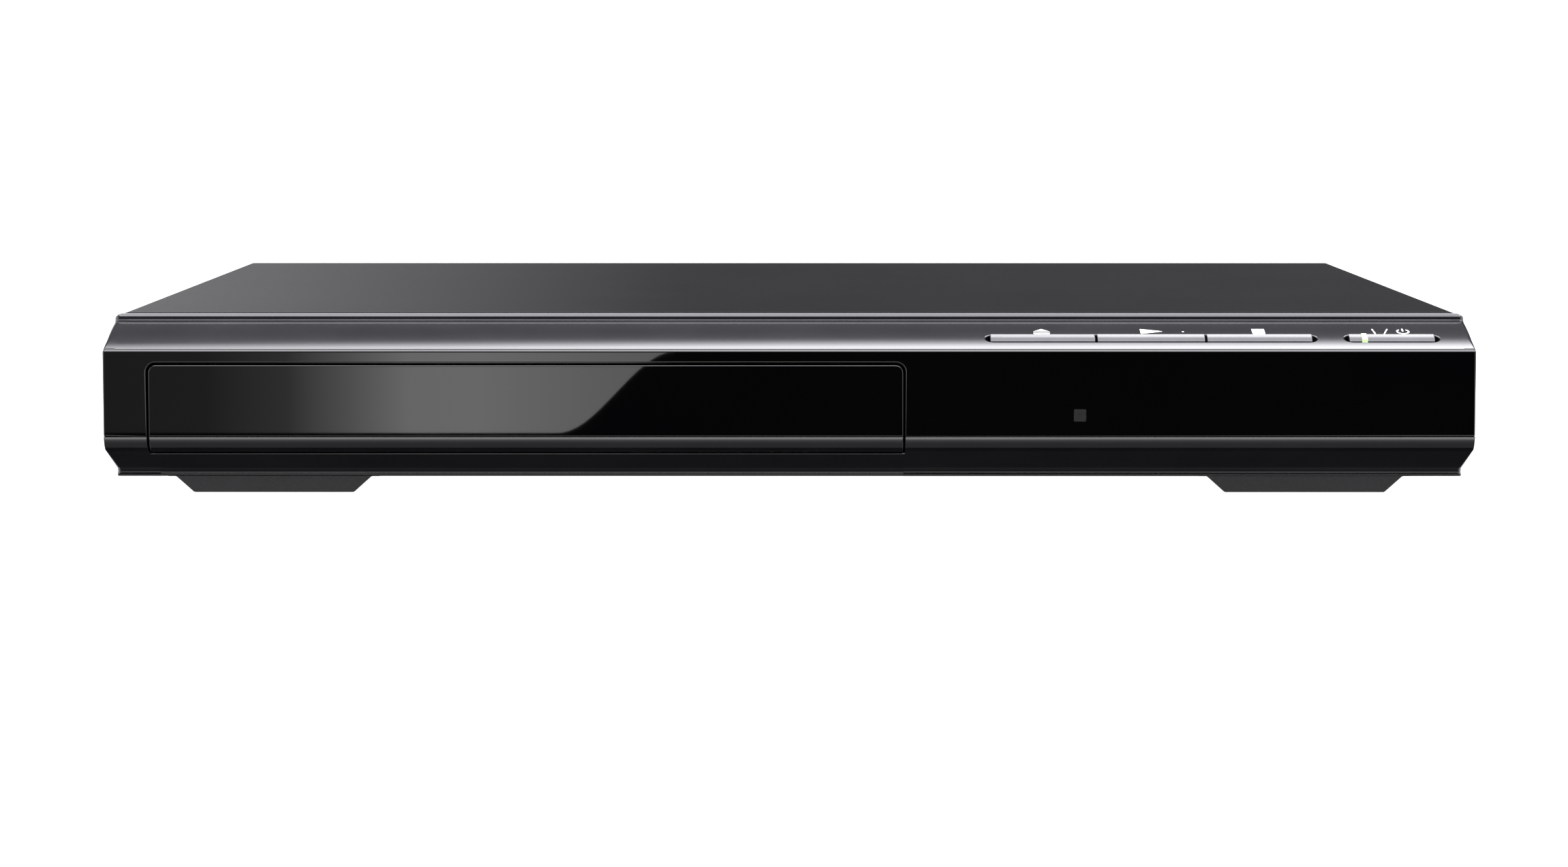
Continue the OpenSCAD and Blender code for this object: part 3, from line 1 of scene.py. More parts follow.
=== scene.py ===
"""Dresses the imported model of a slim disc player: finished surfaces, printed signs and a studio around it."""
import json
import math

import bpy
import numpy as np
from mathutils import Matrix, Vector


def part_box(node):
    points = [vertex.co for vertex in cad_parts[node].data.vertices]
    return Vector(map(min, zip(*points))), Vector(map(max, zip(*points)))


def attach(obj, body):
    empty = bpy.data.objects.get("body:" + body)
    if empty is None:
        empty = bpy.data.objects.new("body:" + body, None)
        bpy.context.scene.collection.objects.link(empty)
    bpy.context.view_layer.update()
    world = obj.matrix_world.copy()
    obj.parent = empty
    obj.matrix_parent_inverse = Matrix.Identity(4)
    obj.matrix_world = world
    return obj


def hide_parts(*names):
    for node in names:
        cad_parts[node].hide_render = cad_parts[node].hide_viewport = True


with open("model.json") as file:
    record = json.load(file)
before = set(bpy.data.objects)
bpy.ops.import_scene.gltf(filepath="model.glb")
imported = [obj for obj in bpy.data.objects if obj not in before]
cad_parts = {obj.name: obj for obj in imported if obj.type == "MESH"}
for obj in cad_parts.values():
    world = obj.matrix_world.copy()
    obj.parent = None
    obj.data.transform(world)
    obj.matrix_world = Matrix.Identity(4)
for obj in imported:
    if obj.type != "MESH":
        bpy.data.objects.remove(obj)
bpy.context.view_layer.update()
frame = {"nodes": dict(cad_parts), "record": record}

bl_info = {
    "name": "Slim Disc Player",
    "version": (1, 0, 0),
    "blender": (4, 5, 0),
    "location": "3D View > Sidebar > Disc Player",
    "description": "Finished surfaces, printed signs and a studio for a slim disc player",
    "category": "Object",
}

MM = 0.001
SLOT_OF = {part["node"]: part["material_slot"] for part in frame["record"]["subparts"]}
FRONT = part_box("front_window")[0].y

# Sizes of the front in mm: depths run back from the front plane, and heights up from the table.
SLOPE_FRONT = (1.4, 32.4)  # depth and height of the slope's front edge
SLOPE_REAR = (16.8, 37.05)  # and of its rear edge, where the upright strip begins
SLOPE_RADIUS = 73.0  # crown of the slope
SLOPE_EDGE = 0.25  # radius of its front edge
FILLET = 0.2  # radius between slope and strip
RIM_HEIGHT = 38.4
RIM_RADIUS = 1.1
PANEL_DEPTH = 18.0
LIP_FOOT = 5.5  # lower edge of the moulding
LIP_INSIDE = 8.6  # upper side of the wall over it
LIP_RADII = (0.4, 0.3)
WALL = 2.2
RAIL = 0.5  # width of the rails that join the slope's wall to its neighbours
NOSE_RADIUS = 3.4  # the rounded nose under the plates
OPENING_RADIUS = 2
BEVEL_ANGLE = 20.4  # rise of the bevel under the nose, in degrees
BEVEL = math.tan(math.radians(BEVEL_ANGLE))
FLARE = 0.4  # how much the ends widen towards the rear
SLOT_DEPTH = 5.95  # depth of the key slots' middle line
SLOT_WIDTH = 3.6
DOOR_GAP = 0.45
HIDDEN = 0.05  # radius of a corner that doesn't show
FLUSH = 0.01  # edge of a piece's end that lies against its neighbour

# The camera, in degrees and mm.
CAMERA_SIDE = -0.05
CAMERA_PITCH = 5.7147
CAMERA_YAW = 0.0749
SENSOR_WIDTH = 36
LENS = 87.247


# ---------- Colours and materials ----------

def linear(hex_colour):
    """An sRGB hex colour as linear red, green, blue and alpha."""
    srgb = np.array([int(hex_colour[i:i + 2], 16) for i in (0, 2, 4)]) / 255
    return (*np.where(srgb <= 0.04045, srgb / 12.92, ((srgb + 0.055) / 1.055) ** 2.4).tolist(), 1.0)


def grey(level):
    """A grey of a linear level, with alpha."""
    return (level, level, level, 1.0)


def add(tree, kind, inputs=None, stops=None, **settings):
    """Adds a shader node to a tree. inputs maps a socket's name or number to a value, to an output, or to a
    node, whose first output is then linked. stops are the places and colours of a colour ramp, and settings
    the node's own properties."""
    made = tree.nodes.new("ShaderNode" + kind)
    for name, value in settings.items():
        setattr(made, name, value)
    for name, value in (inputs or {}).items():
        if isinstance(value, bpy.types.Node):
            value = value.outputs[0]
        if isinstance(value, bpy.types.NodeSocket):
            tree.links.new(value, made.inputs[name])
        else:
            made.inputs[name].default_value = value
    if stops:
        ramp = made.color_ramp
        while len(ramp.elements) < len(stops):
            ramp.elements.new(1.0)
        for element, (place, colour) in zip(ramp.elements, stops):
            element.position, element.color = place, colour
    return made


def new_material(name):
    """An empty material, its node tree and the object's own coordinates in metres."""
    material = bpy.data.materials.new(name)
    material.use_nodes = True
    tree = material.node_tree
    tree.nodes.clear()
    return material, tree, add(tree, "TexCoord").outputs["Object"]


def surface(tree, **sockets):
    """Ends a material with one Principled shader, whose sockets are named with _ for a space."""
    inputs = {name.replace("_", " "): value for name, value in sockets.items()}
    shader = add(tree, "BsdfPrincipled", inputs)
    add(tree, "OutputMaterial", {"Surface": shader})


def mottled(name, base, shade, spot_mm, grain_mm, relief_mm, rough, stretch=(1, 1, 1), **sockets):
    """A material with two tones in spots of spot_mm, and a grain of grain_mm that stands relief_mm high and
    moves the roughness between the two values of rough. Small numbers in stretch draw both out."""
    material, tree, place = new_material(name)
    drawn = add(tree, "Mapping", {"Vector": place, "Scale": stretch})
    spots = add(tree, "TexNoise", {"Vector": drawn, "Scale": 1 / (spot_mm * MM), "Detail": 3.0})
    grain = add(tree, "TexNoise", {"Vector": drawn, "Scale": 1 / (grain_mm * MM), "Detail": 2.0})
    tone = add(tree, "ValToRGB", {"Fac": spots}, [(0.35, base), (0.65, shade)])
    dull = add(tree, "MapRange", {"Value": grain, "To Min": rough[0], "To Max": rough[1]})
    bump = add(tree, "Bump", {"Height": grain, "Distance": relief_mm * MM, "Strength": 1.0})
    surface(tree, Base_Color=tone, Roughness=dull, Normal=bump, **sockets)
    return material


def cover_paint(colours):
    """Stoved paint on sheet steel: a dark grey whose fine grain spreads the light into a broad sheen."""
    return mottled("stoved_paint", colours.cover, linear("0E0E10"), 30, 0.45, 0.004, (0.2, 0.28), IOR=1.5)


def rear_paint(colours):
    """Black stoved paint on sheet steel, a little duller than the cover's."""
    return mottled("black_paint", linear("17171A"), linear("1C1C1F"), 25, 0.4, 0.006, (0.42, 0.55), IOR=1.5)


def zinc_steel(colours):
    """Zinc-plated sheet steel: bluish grey metal whose spangle of about 6 mm shows as faint patches."""
    return mottled("zinc_plate", linear("A9AEB3"), linear("8F959B"), 6, 1.2, 0.003, (0.28, 0.42),
                   Metallic=1.0)


def screw_steel(colours):
    """Zinc-plated screws, tumbled: bright metal with small dents."""
    return mottled("plated_screw", linear("B9BCC0"), linear("9A9DA2"), 0.8, 0.3, 0.004, (0.22, 0.36),
                   Metallic=1.0)


def panel_abs(colours):
    """Moulded ABS from a polished tool: charcoal with a satin gloss and hardly a flow line."""
    return mottled("satin_abs", colours.panel, linear("121215"), 14, 0.35, 0.0008, (0.08, 0.13), IOR=1.52)


def window_pc(colours):
    """Glossy plate: deep black, sharp reflections and only a hint of orange peel of 4 mm."""
    return mottled("black_acrylic", colours.window, linear("030303"), 40, 4, 0.0003, (0.02, 0.035), IOR=1.49)


def key_abs(colours):
    """Moulded ABS keys from a polished tool, as the panel but glossier from touch."""
    return mottled("key_abs", linear("2A2A2E"), linear("242428"), 6, 0.3, 0.001, (0.12, 0.2), IOR=1.52)


def foot_plastic(colours):
    """Polypropylene with a spark-eroded grain: matt black that hides scuffs."""
    return mottled("eroded_polypropylene", linear("141416"), linear("19191B"), 5, 0.5, 0.02, (0.5, 0.7),
                   IOR=1.49)


def tray_abs(colours):
    """Moulded ABS tray with a fine grain: dark grey, matt so that a disc slides off without a scratch."""
    return mottled("grained_abs", linear("26262A"), linear("202024"), 10, 0.4, 0.012, (0.38, 0.52), IOR=1.52)


def frame_plastic(colours):
    """Glass-filled ABS of the inner frames: dark grey with short fibre streaks along the flow."""
    return mottled("glass_filled_abs", linear("323236"), linear("3B3B40"), 4, 0.5, 0.01, (0.42, 0.6),
                   stretch=(0.35, 1, 1), IOR=1.54)


def gear_acetal(colours):
    """Natural acetal gears: milky white, slick, with light scattered just under the surface."""
    return mottled("natural_acetal", linear("E9E6DA"), linear("E2DDCE"), 5, 0.6, 0.002, (0.25, 0.35),
                   IOR=1.48, Subsurface_Weight=0.15, Subsurface_Scale=0.0008)


def belt_rubber(colours):
    """Vulcanised rubber: black, dull, with a bloom of dust in the grain."""
    return mottled("vulcanised_rubber", linear("161616"), linear("222222"), 3, 0.35, 0.015, (0.65, 0.85),
                   IOR=1.52)


def pulley_brass(colours):
    """Turned brass pulley: warm yellow metal with fine turning lines round its axis."""
    return mottled("turned_brass", linear("C9A45C"), linear("B8924A"), 2, 0.15, 0.003, (0.18, 0.3),
                   stretch=(0.2, 0.2, 1), Metallic=1.0)


def motor_can(colours):
    """Deep-drawn, nickel-plated motor can: bright metal, drawing marks run with the axis."""
    return mottled("plated_can", linear("B4B7BA"), linear("A2A5A9"), 4, 0.3, 0.002, (0.2, 0.32),
                   stretch=(1, 1, 0.15), Metallic=1.0)


def turntable_metal(colours):
    """Turned aluminium: pale metal with fine rings from the lathe."""
    return mottled("turned_aluminium", linear("C9CBCD"), linear("BCBFC2"), 3, 0.2, 0.002, (0.2, 0.3),
                   stretch=(0.3, 0.3, 1), Metallic=1.0)


def rod_steel(colours):
    """Ground and polished steel rods: near-mirror metal with hairline grinding round the rod."""
    return mottled("ground_steel", linear("CFD2D6"), linear("C2C5CA"), 4, 0.15, 0.0008, (0.08, 0.14),
                   stretch=(0.2, 1, 1), Metallic=1.0)


def lens_glass(colours):
    """Coated lens in its holder: dark glass with a bluish thin film."""
    return mottled("coated_lens", linear("26324E"), linear("1E2A44"), 3, 2, 0.0002, (0.03, 0.06), IOR=1.6,
                   Thin_Film_Thickness=420.0, Thin_Film_IOR=1.38)


def chip_epoxy(colours):
    """Moulded epoxy chip bodies: black, matt from the mould's blasted finish."""
    return mottled("moulded_epoxy", linear("1C1C1E"), linear("222225"), 3, 0.25, 0.008, (0.5, 0.62), IOR=1.55)


def connector_nylon(colours):
    """Natural nylon connectors: off-white, slightly waxy."""
    return mottled("natural_nylon", linear("E3DFD0"), linear("D9D4C2"), 4, 0.5, 0.004, (0.35, 0.48),
                   IOR=1.53, Subsurface_Weight=0.1, Subsurface_Scale=0.0006)


def socket_plastic(colours):
    """Polyester socket housing: black, dull."""
    return mottled("socket_polyester", linear("1A1A1C"), linear("202022"), 5, 0.4, 0.008, (0.4, 0.55),
                   IOR=1.57)


def sleeve_nickel(colours):
    """Nickel-plated sleeves: warm bright metal with light plug scratches round them."""
    return mottled("nickel_plate", linear("CFC9B8"), linear("C0BAA8"), 1.5, 0.25, 0.002, (0.12, 0.24),
                   stretch=(1, 0.25, 1), Metallic=1.0)


def heatsink_aluminium(colours):
    """Extruded aluminium, left raw: pale grey with die lines along the fins."""
    return mottled("extruded_aluminium", linear("B5B8BB"), linear("A6A9AD"), 5, 0.3, 0.004, (0.3, 0.42),
                   stretch=(1, 0.08, 1), Metallic=1.0)


def sheet_fibre(colours):
    """Pressed fibre sheet: greyish cream with visible fibres."""
    return mottled("pressed_fibre", linear("CFCBBB"), linear("BDB8A6"), 2.5, 0.4, 0.02, (0.6, 0.8),
                   stretch=(1, 0.3, 1), IOR=1.5)


def sleeve_blue(colours):
    """Shrink-sleeved capacitors: dark blue glossy film."""
    return mottled("shrink_sleeve", linear("1B2A57"), linear("16234A"), 6, 1.5, 0.004, (0.2, 0.3), IOR=1.54)


def tape_yellow(colours):
    """Wound transformer: yellow polyester tape in turns of 0.9 mm, with a waxy gloss."""
    return mottled("winding_tape", linear("C9A93A"), linear("B8962C"), 3, 0.9, 0.02, (0.28, 0.4),
                   stretch=(0.1, 0.1, 1), IOR=1.6)


def board_layer(name, resist, track, pad):
    """Printed board: copper tracks in cells of 5 mm, cut by lines 25 mm apart that wander, show through the
    resist as paler lines, with tinned pads on a 2.5 mm grid."""
    material, tree, place = new_material(name)
    cells = add(tree, "TexVoronoi", {"Vector": place, "Scale": 1 / (5 * MM), "Randomness": 0.75},
                distance="CHEBYCHEV", feature="F2")
    lines = add(tree, "TexWave", {"Vector": place, "Scale": 1 / (25 * MM), "Distortion": 6.0, "Detail": 2.0})
    pads = add(tree, "TexVoronoi", {"Vector": place, "Scale": 1 / (2.5 * MM), "Randomness": 0.35})
    tracks = add(tree, "Math", {0: cells, 1: lines.outputs["Fac"]}, operation="MULTIPLY")
    copper = add(tree, "ValToRGB", {"Fac": tracks},
                 [(0.0, resist), (0.42, resist), (0.46, track), (1.0, track)])
    tin = add(tree, "ValToRGB", {"Fac": pads}, [(0.13, grey(1.0)), (0.16, grey(0.0))])
    tone = add(tree, "Mix", {0: tin, 6: copper, 7: pad}, data_type="RGBA")
    bump = add(tree, "Bump", {"Height": copper, "Distance": 0.03 * MM})
    surface(tree, Base_Color=tone.outputs[2], Roughness=0.3, Normal=bump, IOR=1.55)
    return material


def board_green(colours):
    """Glass-epoxy board under green solder resist, glossy."""
    return board_layer("green_resist", linear("0E4527"), linear("1C6B3E"), linear("B9BBB4"))


def board_tan(colours):
    """Paper-phenolic board: brown, with tracks a little paler."""
    return board_layer("paper_phenolic", linear("7A5A2C"), linear("86663A"), linear("B5A98C"))


def core_plastic(colours):
    """Socket cores, each in the colour of its signal: video yellow, audio white and red, component green,
    blue and red, digital orange. The colour goes by the core's place: columns 14 mm apart, in two rows."""
    first_column, past_columns, between_rows = 33 * MM, 89 * MM, 22 * MM
    lower, upper = ("D9B21E", "E4E2DC", "B01E1E", "C8601A"), ("1F7A35", "1E4FA0", "B01E1E", "B01E1E")
    material, tree, place = new_material("coloured_cores")
    split = add(tree, "SeparateXYZ", {"Vector": place})
    column = add(tree, "MapRange",
                 {"Value": split.outputs["X"], "From Min": first_column, "From Max": past_columns})
    rows = []
    for shades in (lower, upper):
        stops = [(i / len(shades), linear(shade)) for i, shade in enumerate(shades)]
        ramp = add(tree, "ValToRGB", {"Fac": column}, stops)
        ramp.color_ramp.interpolation = "CONSTANT"
        rows.append(ramp)
    above = add(tree, "Math", {0: split.outputs["Z"], 1: between_rows}, operation="GREATER_THAN")
    tone = add(tree, "Mix", {0: above, 6: rows[0], 7: rows[1]}, data_type="RGBA")
    grain = add(tree, "TexNoise", {"Vector": place, "Scale": 1 / (0.5 * MM)})
    bump = add(tree, "Bump", {"Height": grain, "Distance": 0.004 * MM})
    surface(tree, Base_Color=tone.outputs[2], Roughness=0.32, Normal=bump, IOR=1.52)
    return material


def ribbon_film(colours):
    """Flat ribbon cable: tinned conductors under clear polyester. A wave repeats every 2 pi / (20 * scale),
    which is the conductors' 1 mm."""
    material, tree, place = new_material("ribbon_polyester")
    spacing = 1 * MM
    scale = 2 * math.pi / (20 * spacing)
    lines = add(tree, "TexWave", {"Vector": place, "Scale": scale}, bands_direction="X")
    tone = add(tree, "ValToRGB", {"Fac": lines.outputs["Fac"]},
               [(0.45, linear("DDE0E4")), (0.6, linear("A7ADB5"))])
    bump = add(tree, "Bump", {"Height": lines.outputs["Fac"], "Distance": 0.03 * MM})
    surface(tree, Base_Color=tone, Roughness=0.22, Normal=bump, IOR=1.57)
    return material


def lamp_clear(colours):
    """Clear acrylic light bar with a green lamp behind it: an almost even glow in faint clouds."""
    material, tree, place = new_material("lit_acrylic")
    cloud = add(tree, "TexNoise", {"Vector": place, "Scale": 1 / (1.2 * MM)})
    tone = add(tree, "ValToRGB", {"Fac": cloud}, [(0.3, colours.lamp), (0.7, linear("E6FFD0"))])
    surface(tree, Base_Color=linear("BFE3A2"), Roughness=0.15, IOR=1.49, Emission_Color=tone,
            Emission_Strength=0.85)
    return material


def printed_ink(colours):
    """Pad-printed ink: matt white, its edge crisp, with pinholes too fine to show."""
    return mottled("pad_print", colours.ink, linear("DCDCDA"), 1.5, 0.3, 0.002, (0.5, 0.6), IOR=1.5)


def receiver_filter(colours):
    """Filter of the remote receiver, seen through the black plate as a faint grey square."""
    return mottled("receiver_filter", linear("060607"), linear("080809"), 0.9, 0.3, 0.001, (0.15, 0.25),
                   IOR=1.5)


# Each finish has the name of its slot.
FINISHES = {finish.__name__: finish for finish in (
    cover_paint, rear_paint, zinc_steel, screw_steel, panel_abs, window_pc, key_abs, foot_plastic, tray_abs,
    frame_plastic, gear_acetal, belt_rubber, pulley_brass, motor_can, turntable_metal, rod_steel, lens_glass,
    board_green, board_tan, chip_epoxy, connector_nylon, socket_plastic, sleeve_nickel, core_plastic,
    tape_yellow, sleeve_blue, heatsink_aluminium, sheet_fibre, ribbon_film, lamp_clear, printed_ink,
    receiver_filter)}
MADE = {}  # materials by slot


def finish_for(context, slot):
    """The material of a slot, made when it is first asked for."""
    if slot not in MADE:
        MADE[slot] = FINISHES[slot](context.scene.player_colours)
    return MADE[slot]


# ---------- Shapes ----------

def in_mm(box):
    """Lowest and highest corner of a box in mm, in X, depth from the front plane and Z."""
    return [np.array([corner.x, corner.y - FRONT, corner.z]) / MM for corner in box]


def rounded(corners, radii, steps=6):
    """Closed outline, counter-clockwise, with each corner an arc tangent to both of its sides: centre +
    radius * (cos a, sin a), where a turns from one side's normal to the next one's. Returns the points, their
    outward normals and how far each may be drawn in, which is the radius of an outer corner."""
    corners = np.array([tuple(corner) for corner in corners], float)
    radii = np.broadcast_to(np.asarray(radii, float), len(corners))
    before = corners - np.roll(corners, 1, axis=0)
    before /= np.linalg.norm(before, axis=1, keepdims=True)
    after = np.roll(before, -1, axis=0)
    turn = np.arctan2(before[:, 0] * after[:, 1] - before[:, 1] * after[:, 0], (before * after).sum(1))
    start = np.arctan2(-before[:, 0], before[:, 1])
    angle = start[:, None] + turn[:, None] * np.linspace(0, 1, steps + 1)
    normals = np.stack([np.cos(angle), np.sin(angle)], axis=-1)
    side = (np.sign(turn) * radii)[:, None]
    first, last = normals[:, 0], normals[:, -1]
    centre = corners - side * (first + last) / (1 + (first * last).sum(1, keepdims=True))
    points = centre[:, None] + side[:, None] * normals
    limit = np.repeat(np.where(turn > 0, radii, np.inf), steps + 1)
    return points.reshape(-1, 2), normals.reshape(-1, 2), limit


def rectangle(left, low, right, high, radii, steps=6):
    """Outline of a rectangle, its corners rounded from the lower left one on."""
    return rounded([(left, low), (right, low), (right, high), (left, high)], radii, steps)


def slab(outline, low, high, low_edge, high_edge, steps=4):
    """Skin of a plate between two heights with rounded edges. Near each face the outline is drawn in by edge
    * (1 - sin a) at edge * (1 - cos a) from the face, a from 0 to 90 degrees, where the normal is sin a * the
    outline's + cos a * the face's. An edge may differ from point to point, and is never wider than the corner
    it goes round. A skin holds its points and then its normals, each as (section, point, 3)."""
    points, normals, limit = outline
    angle = np.linspace(0, math.pi / 2, steps + 1)[:, None]
    back = angle[::-1]
    low_edge, high_edge = np.minimum(low_edge, limit), np.minimum(high_edge, limit)
    inset = np.concatenate([low_edge * (1 - np.sin(angle)), high_edge * (1 - np.sin(back))])
    height = np.concatenate([low + low_edge * (1 - np.cos(angle)), high - high_edge * (1 - np.cos(back))])
    lean = np.concatenate([angle, back])[..., None]
    side = np.repeat([-1.0, 1.0], steps + 1)[:, None, None]
    level = np.broadcast_to(side * np.cos(lean), (*inset.shape, 1))
    flat = points - inset[..., None] * normals
    return np.stack([np.concatenate([flat, height[..., None]], axis=2),
                     np.concatenate([np.sin(lean) * normals, level], axis=2)])


def upright(skin):
    """Turns a slab whose outline is in X and Z so that its thickness runs back from the front."""
    return skin[..., [0, 2, 1]]


def along_x(skin):
    """Turns a slab whose outline is in depth and Z so that its thickness runs along X."""
    return skin[..., [2, 0, 1]]


def slope_centre():
    """Centre of the slope's circle through both of its ends, as depth and Z."""
    (d0, z0), (d1, z1) = SLOPE_FRONT, SLOPE_REAR
    chord = math.hypot(d1 - d0, z1 - z0)
    drop = math.sqrt(SLOPE_RADIUS ** 2 - chord ** 2 / 4) / chord
    return (d0 + d1) / 2 + (z1 - z0) * drop, (z0 + z1) / 2 - (d1 - d0) * drop


def slope_tilt(depth):
    """Tilt of the slope from level at a depth, in radians."""
    return np.arcsin((slope_centre()[0] - depth) / SLOPE_RADIUS)


def slope_way(depth):
    """Way up the slope from the slots' middle line to a depth, in mm."""
    return SLOPE_RADIUS * (slope_tilt(SLOT_DEPTH) - slope_tilt(depth))


def slope_height(depth):
    """Height of the slope at a depth, in mm."""
    return slope_centre()[1] + SLOPE_RADIUS * np.cos(slope_tilt(depth))


def on_slope(skin):
    """Lays a skin in X, way up the slope and height over it on the slope: centre + (radius + height) *
    (-sin t, cos t), where the tilt t falls by way / radius. Normals are turned by t."""
    (x, way, height), (across, up, out) = np.moveaxis(skin, -1, 1)
    tilt = slope_tilt(SLOT_DEPTH) - way / SLOPE_RADIUS
    sine, cosine = np.sin(tilt), np.cos(tilt)
    reach, (depth, level) = SLOPE_RADIUS + height, slope_centre()
    place = [x, depth - reach * sine, level + reach * cosine]
    normal = [across, up * cosine - out * sine, up * sine + out * cosine]
    return np.stack([np.stack(place, axis=-1), np.stack(normal, axis=-1)])


def slotted(left, right, front, rear, slot_left, slot_right, mouth=0.25, steps=8, rings=6, turns=5):
    """Skin of a piece of the slope's wall with one key slot. Rings run from the rectangle in to the slot's
    outline, a point with the normal n going to n / max(|n|) on the rectangle, then round the mouth and down
    the slot."""
    half = SLOT_WIDTH / 2
    points, normals, _ = rectangle(slot_left, -half, slot_right, half, half * 0.999, steps)
    square = normals / np.abs(normals).max(axis=1, keepdims=True)
    middle = (slot_left + slot_right) / 2
    centre = np.where(points[:, 0] > middle, slot_right - half, slot_left + half)
    side = np.where(square[:, 0] > 0, right - centre, centre - left)
    reach = np.where(square[:, 1] > 0, rear, -front)
    border = np.column_stack([centre + square[:, 0] * side, square[:, 1] * reach])
    share = np.linspace(0, 1, rings)[:, None, None]
    flat = (1 - share) * border + share * (points + mouth * normals)
    level = np.zeros((rings, len(points), 1))
    turn = np.linspace(math.pi / 2, 0, turns)[:, None, None]
    rim = points + mouth * (1 - np.cos(turn)) * normals
    depth = np.broadcast_to(-mouth * (1 - np.sin(turn)), (turns, len(points), 1))
    under = np.full(len(points), -WALL)
    below = [np.column_stack([outline, under]) for outline in (points, points, border)]
    rings_in, turned = np.concatenate([flat, level], axis=2), np.concatenate([rim, depth], axis=2)
    place = np.concatenate([rings_in, turned, below])
    up, inward = np.array([0.0, 0.0, 1.0]), np.column_stack([-normals, np.zeros(len(points))])
    down = np.broadcast_to(-up, inward.shape)
    normal = np.concatenate([np.broadcast_to(up, (*level.shape[:2], 3)),
                             np.sin(turn) * up + np.cos(turn) * inward, [inward, down, down]])
    return np.stack([place, normal])


def skin_faces(skin, first, ring):
    """Faces of a skin of closed sections, turned the way its normals point. In a ring the last section joins
    the first, and otherwise both ends are capped. first is the number of the first point."""
    place, normal = skin
    sections, points = place.shape[:2]
    row, column = np.meshgrid(np.arange(sections if ring else sections - 1), np.arange(points), indexing="ij")
    above, after = (row + 1) % sections, (column + 1) % points
    corners = [row * points + column, row * points + after, above * points + after, above * points + column]
    faces = np.stack(corners, axis=-1).reshape(-1, 4)
    p, n = place.reshape(-1, 3), normal.reshape(-1, 3)
    areas = np.cross(p[faces[:, 2]] - p[faces[:, 0]], p[faces[:, 3]] - p[faces[:, 1]])
    if (areas * n[faces[:, 0]]).sum() < 0:
        faces = faces[:, ::-1]
    faces = (faces + first).tolist()
    for end in () if ring else (0, sections - 1):
        cap = np.arange(points) + end * points
        area = np.cross(p[cap], p[np.roll(cap, -1)]).sum(axis=0)
        faces.append((first + (cap if area @ n[cap[0]] > 0 else cap[::-1])).tolist())
    return faces


def new_piece(context, name, skins, slot, body, *nodes, rings=()):
    """A mesh from skins in X, depth from the front plane and Z, in mm, and from rings, skins that join up.
    Points that meet are merged, faces without area left out, and each corner keeps its skin's own normal. The
    piece rides on a body and stands for the given nodes."""
    sheets = [(skin, False) for skin in skins] + [(skin, True) for skin in rings]
    faces, first = [], 0
    for skin, ring in sheets:
        faces += skin_faces(skin, first, ring)
        first += skin.shape[1] * skin.shape[2]
    points, normals = (np.concatenate([skin[i].reshape(-1, 3) for skin, _ in sheets]) for i in (0, 1))
    _, kept, merged = np.unique(points.round(4), axis=0, return_index=True, return_inverse=True)
    merged = merged.reshape(-1).tolist()
    corners = [{merged[point]: point for point in face} for face in faces]
    corners = [face for face in corners if len(face) > 2]
    mesh = bpy.data.meshes.new(name)
    mesh.from_pydata((points[kept] * MM + (0, FRONT, 0)).tolist(), [], [list(face) for face in corners])
    mesh.polygons.foreach_set("use_smooth", np.ones(len(mesh.polygons), bool))
    mesh.normals_split_custom_set(normals[[point for face in corners for point in face.values()]].tolist())
    mesh.materials.append(finish_for(context, slot))
    piece = bpy.data.objects.new(name, mesh)
    context.scene.collection.objects.link(piece)
    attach(piece, body)
    if nodes:
        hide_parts(*nodes)
    return piece


def printed(outline, sunk=0.02, thick=0.03, edge=0.01):
    """A mark printed on the slope, its outline in X and way up the slope, with its ink a little sunk in."""
    return on_slope(slab(outline, -sunk, thick, 0.0, edge, 1))


def ring_sector(centre, inner, outer, start, end, steps=28):
    """Outline of a ring sector: out along the outer arc and back along the inner one, angles in degrees."""
    angle = np.radians(np.linspace(start, end, steps))
    turn = np.column_stack([np.cos(angle), np.sin(angle)])
    points = np.concatenate([centre + outer * turn, centre + inner * turn[::-1]])
    return points, np.concatenate([turn, -turn[::-1]]), np.full(len(points), np.inf)


def soften(node, radius, segments=2):
    """Gives a CAD piece's sharp edges their moulded or folded radius. The loose triangles are merged, flat
    faces made whole, edges over 32 degrees rounded, and the normals weighted so that flat faces stay flat."""
    piece = frame["nodes"][node]
    piece.data.polygons.foreach_set("use_smooth", np.ones(len(piece.data.polygons), bool))
    merge = piece.modifiers.new("merge", "WELD")
    merge.merge_threshold = 0.001 * MM
    whole = piece.modifiers.new("whole faces", "DECIMATE")
    whole.decimate_type = "DISSOLVE"
    whole.angle_limit = math.radians(0.6)
    edges = piece.modifiers.new("edges", "BEVEL")
    edges.width = radius
    edges.segments = segments
    edges.limit_method = "ANGLE"
    edges.angle_limit = math.radians(32)
    edges.miter_outer = "MITER_ARC"
    normals = piece.modifiers.new("flat faces", "WEIGHTED_NORMAL")
    normals.weight = 100


def dress(context, radius, *nodes):
    """Gives CAD pieces the finish of their slot and soft edges."""
    for node in nodes:
        mesh = frame["nodes"][node].data
        mesh.materials.clear()
        mesh.materials.append(finish_for(context, SLOT_OF[node]))
        soften(node, radius)


def finish_group(context, **group):
    """Finishes a group of CAD pieces, given as the names of those that take each edge radius."""
    for edge, nodes in group.items():
        dress(context, getattr(context.scene.player_sizes, edge), *nodes.split())
    return {"FINISHED"}


# ---------- Sizes and colours that a user would change ----------

def length(name, description, default_mm):
    """A length property, given in millimetres."""
    return bpy.props.FloatProperty(name=name, description=description, default=default_mm * MM, unit="LENGTH")


def colour(name, description, default):
    """A colour property, given as an sRGB hex value."""
    return bpy.props.FloatVectorProperty(
        name=name, description=description, default=linear(default), size=4, subtype="COLOR", min=0, max=1)


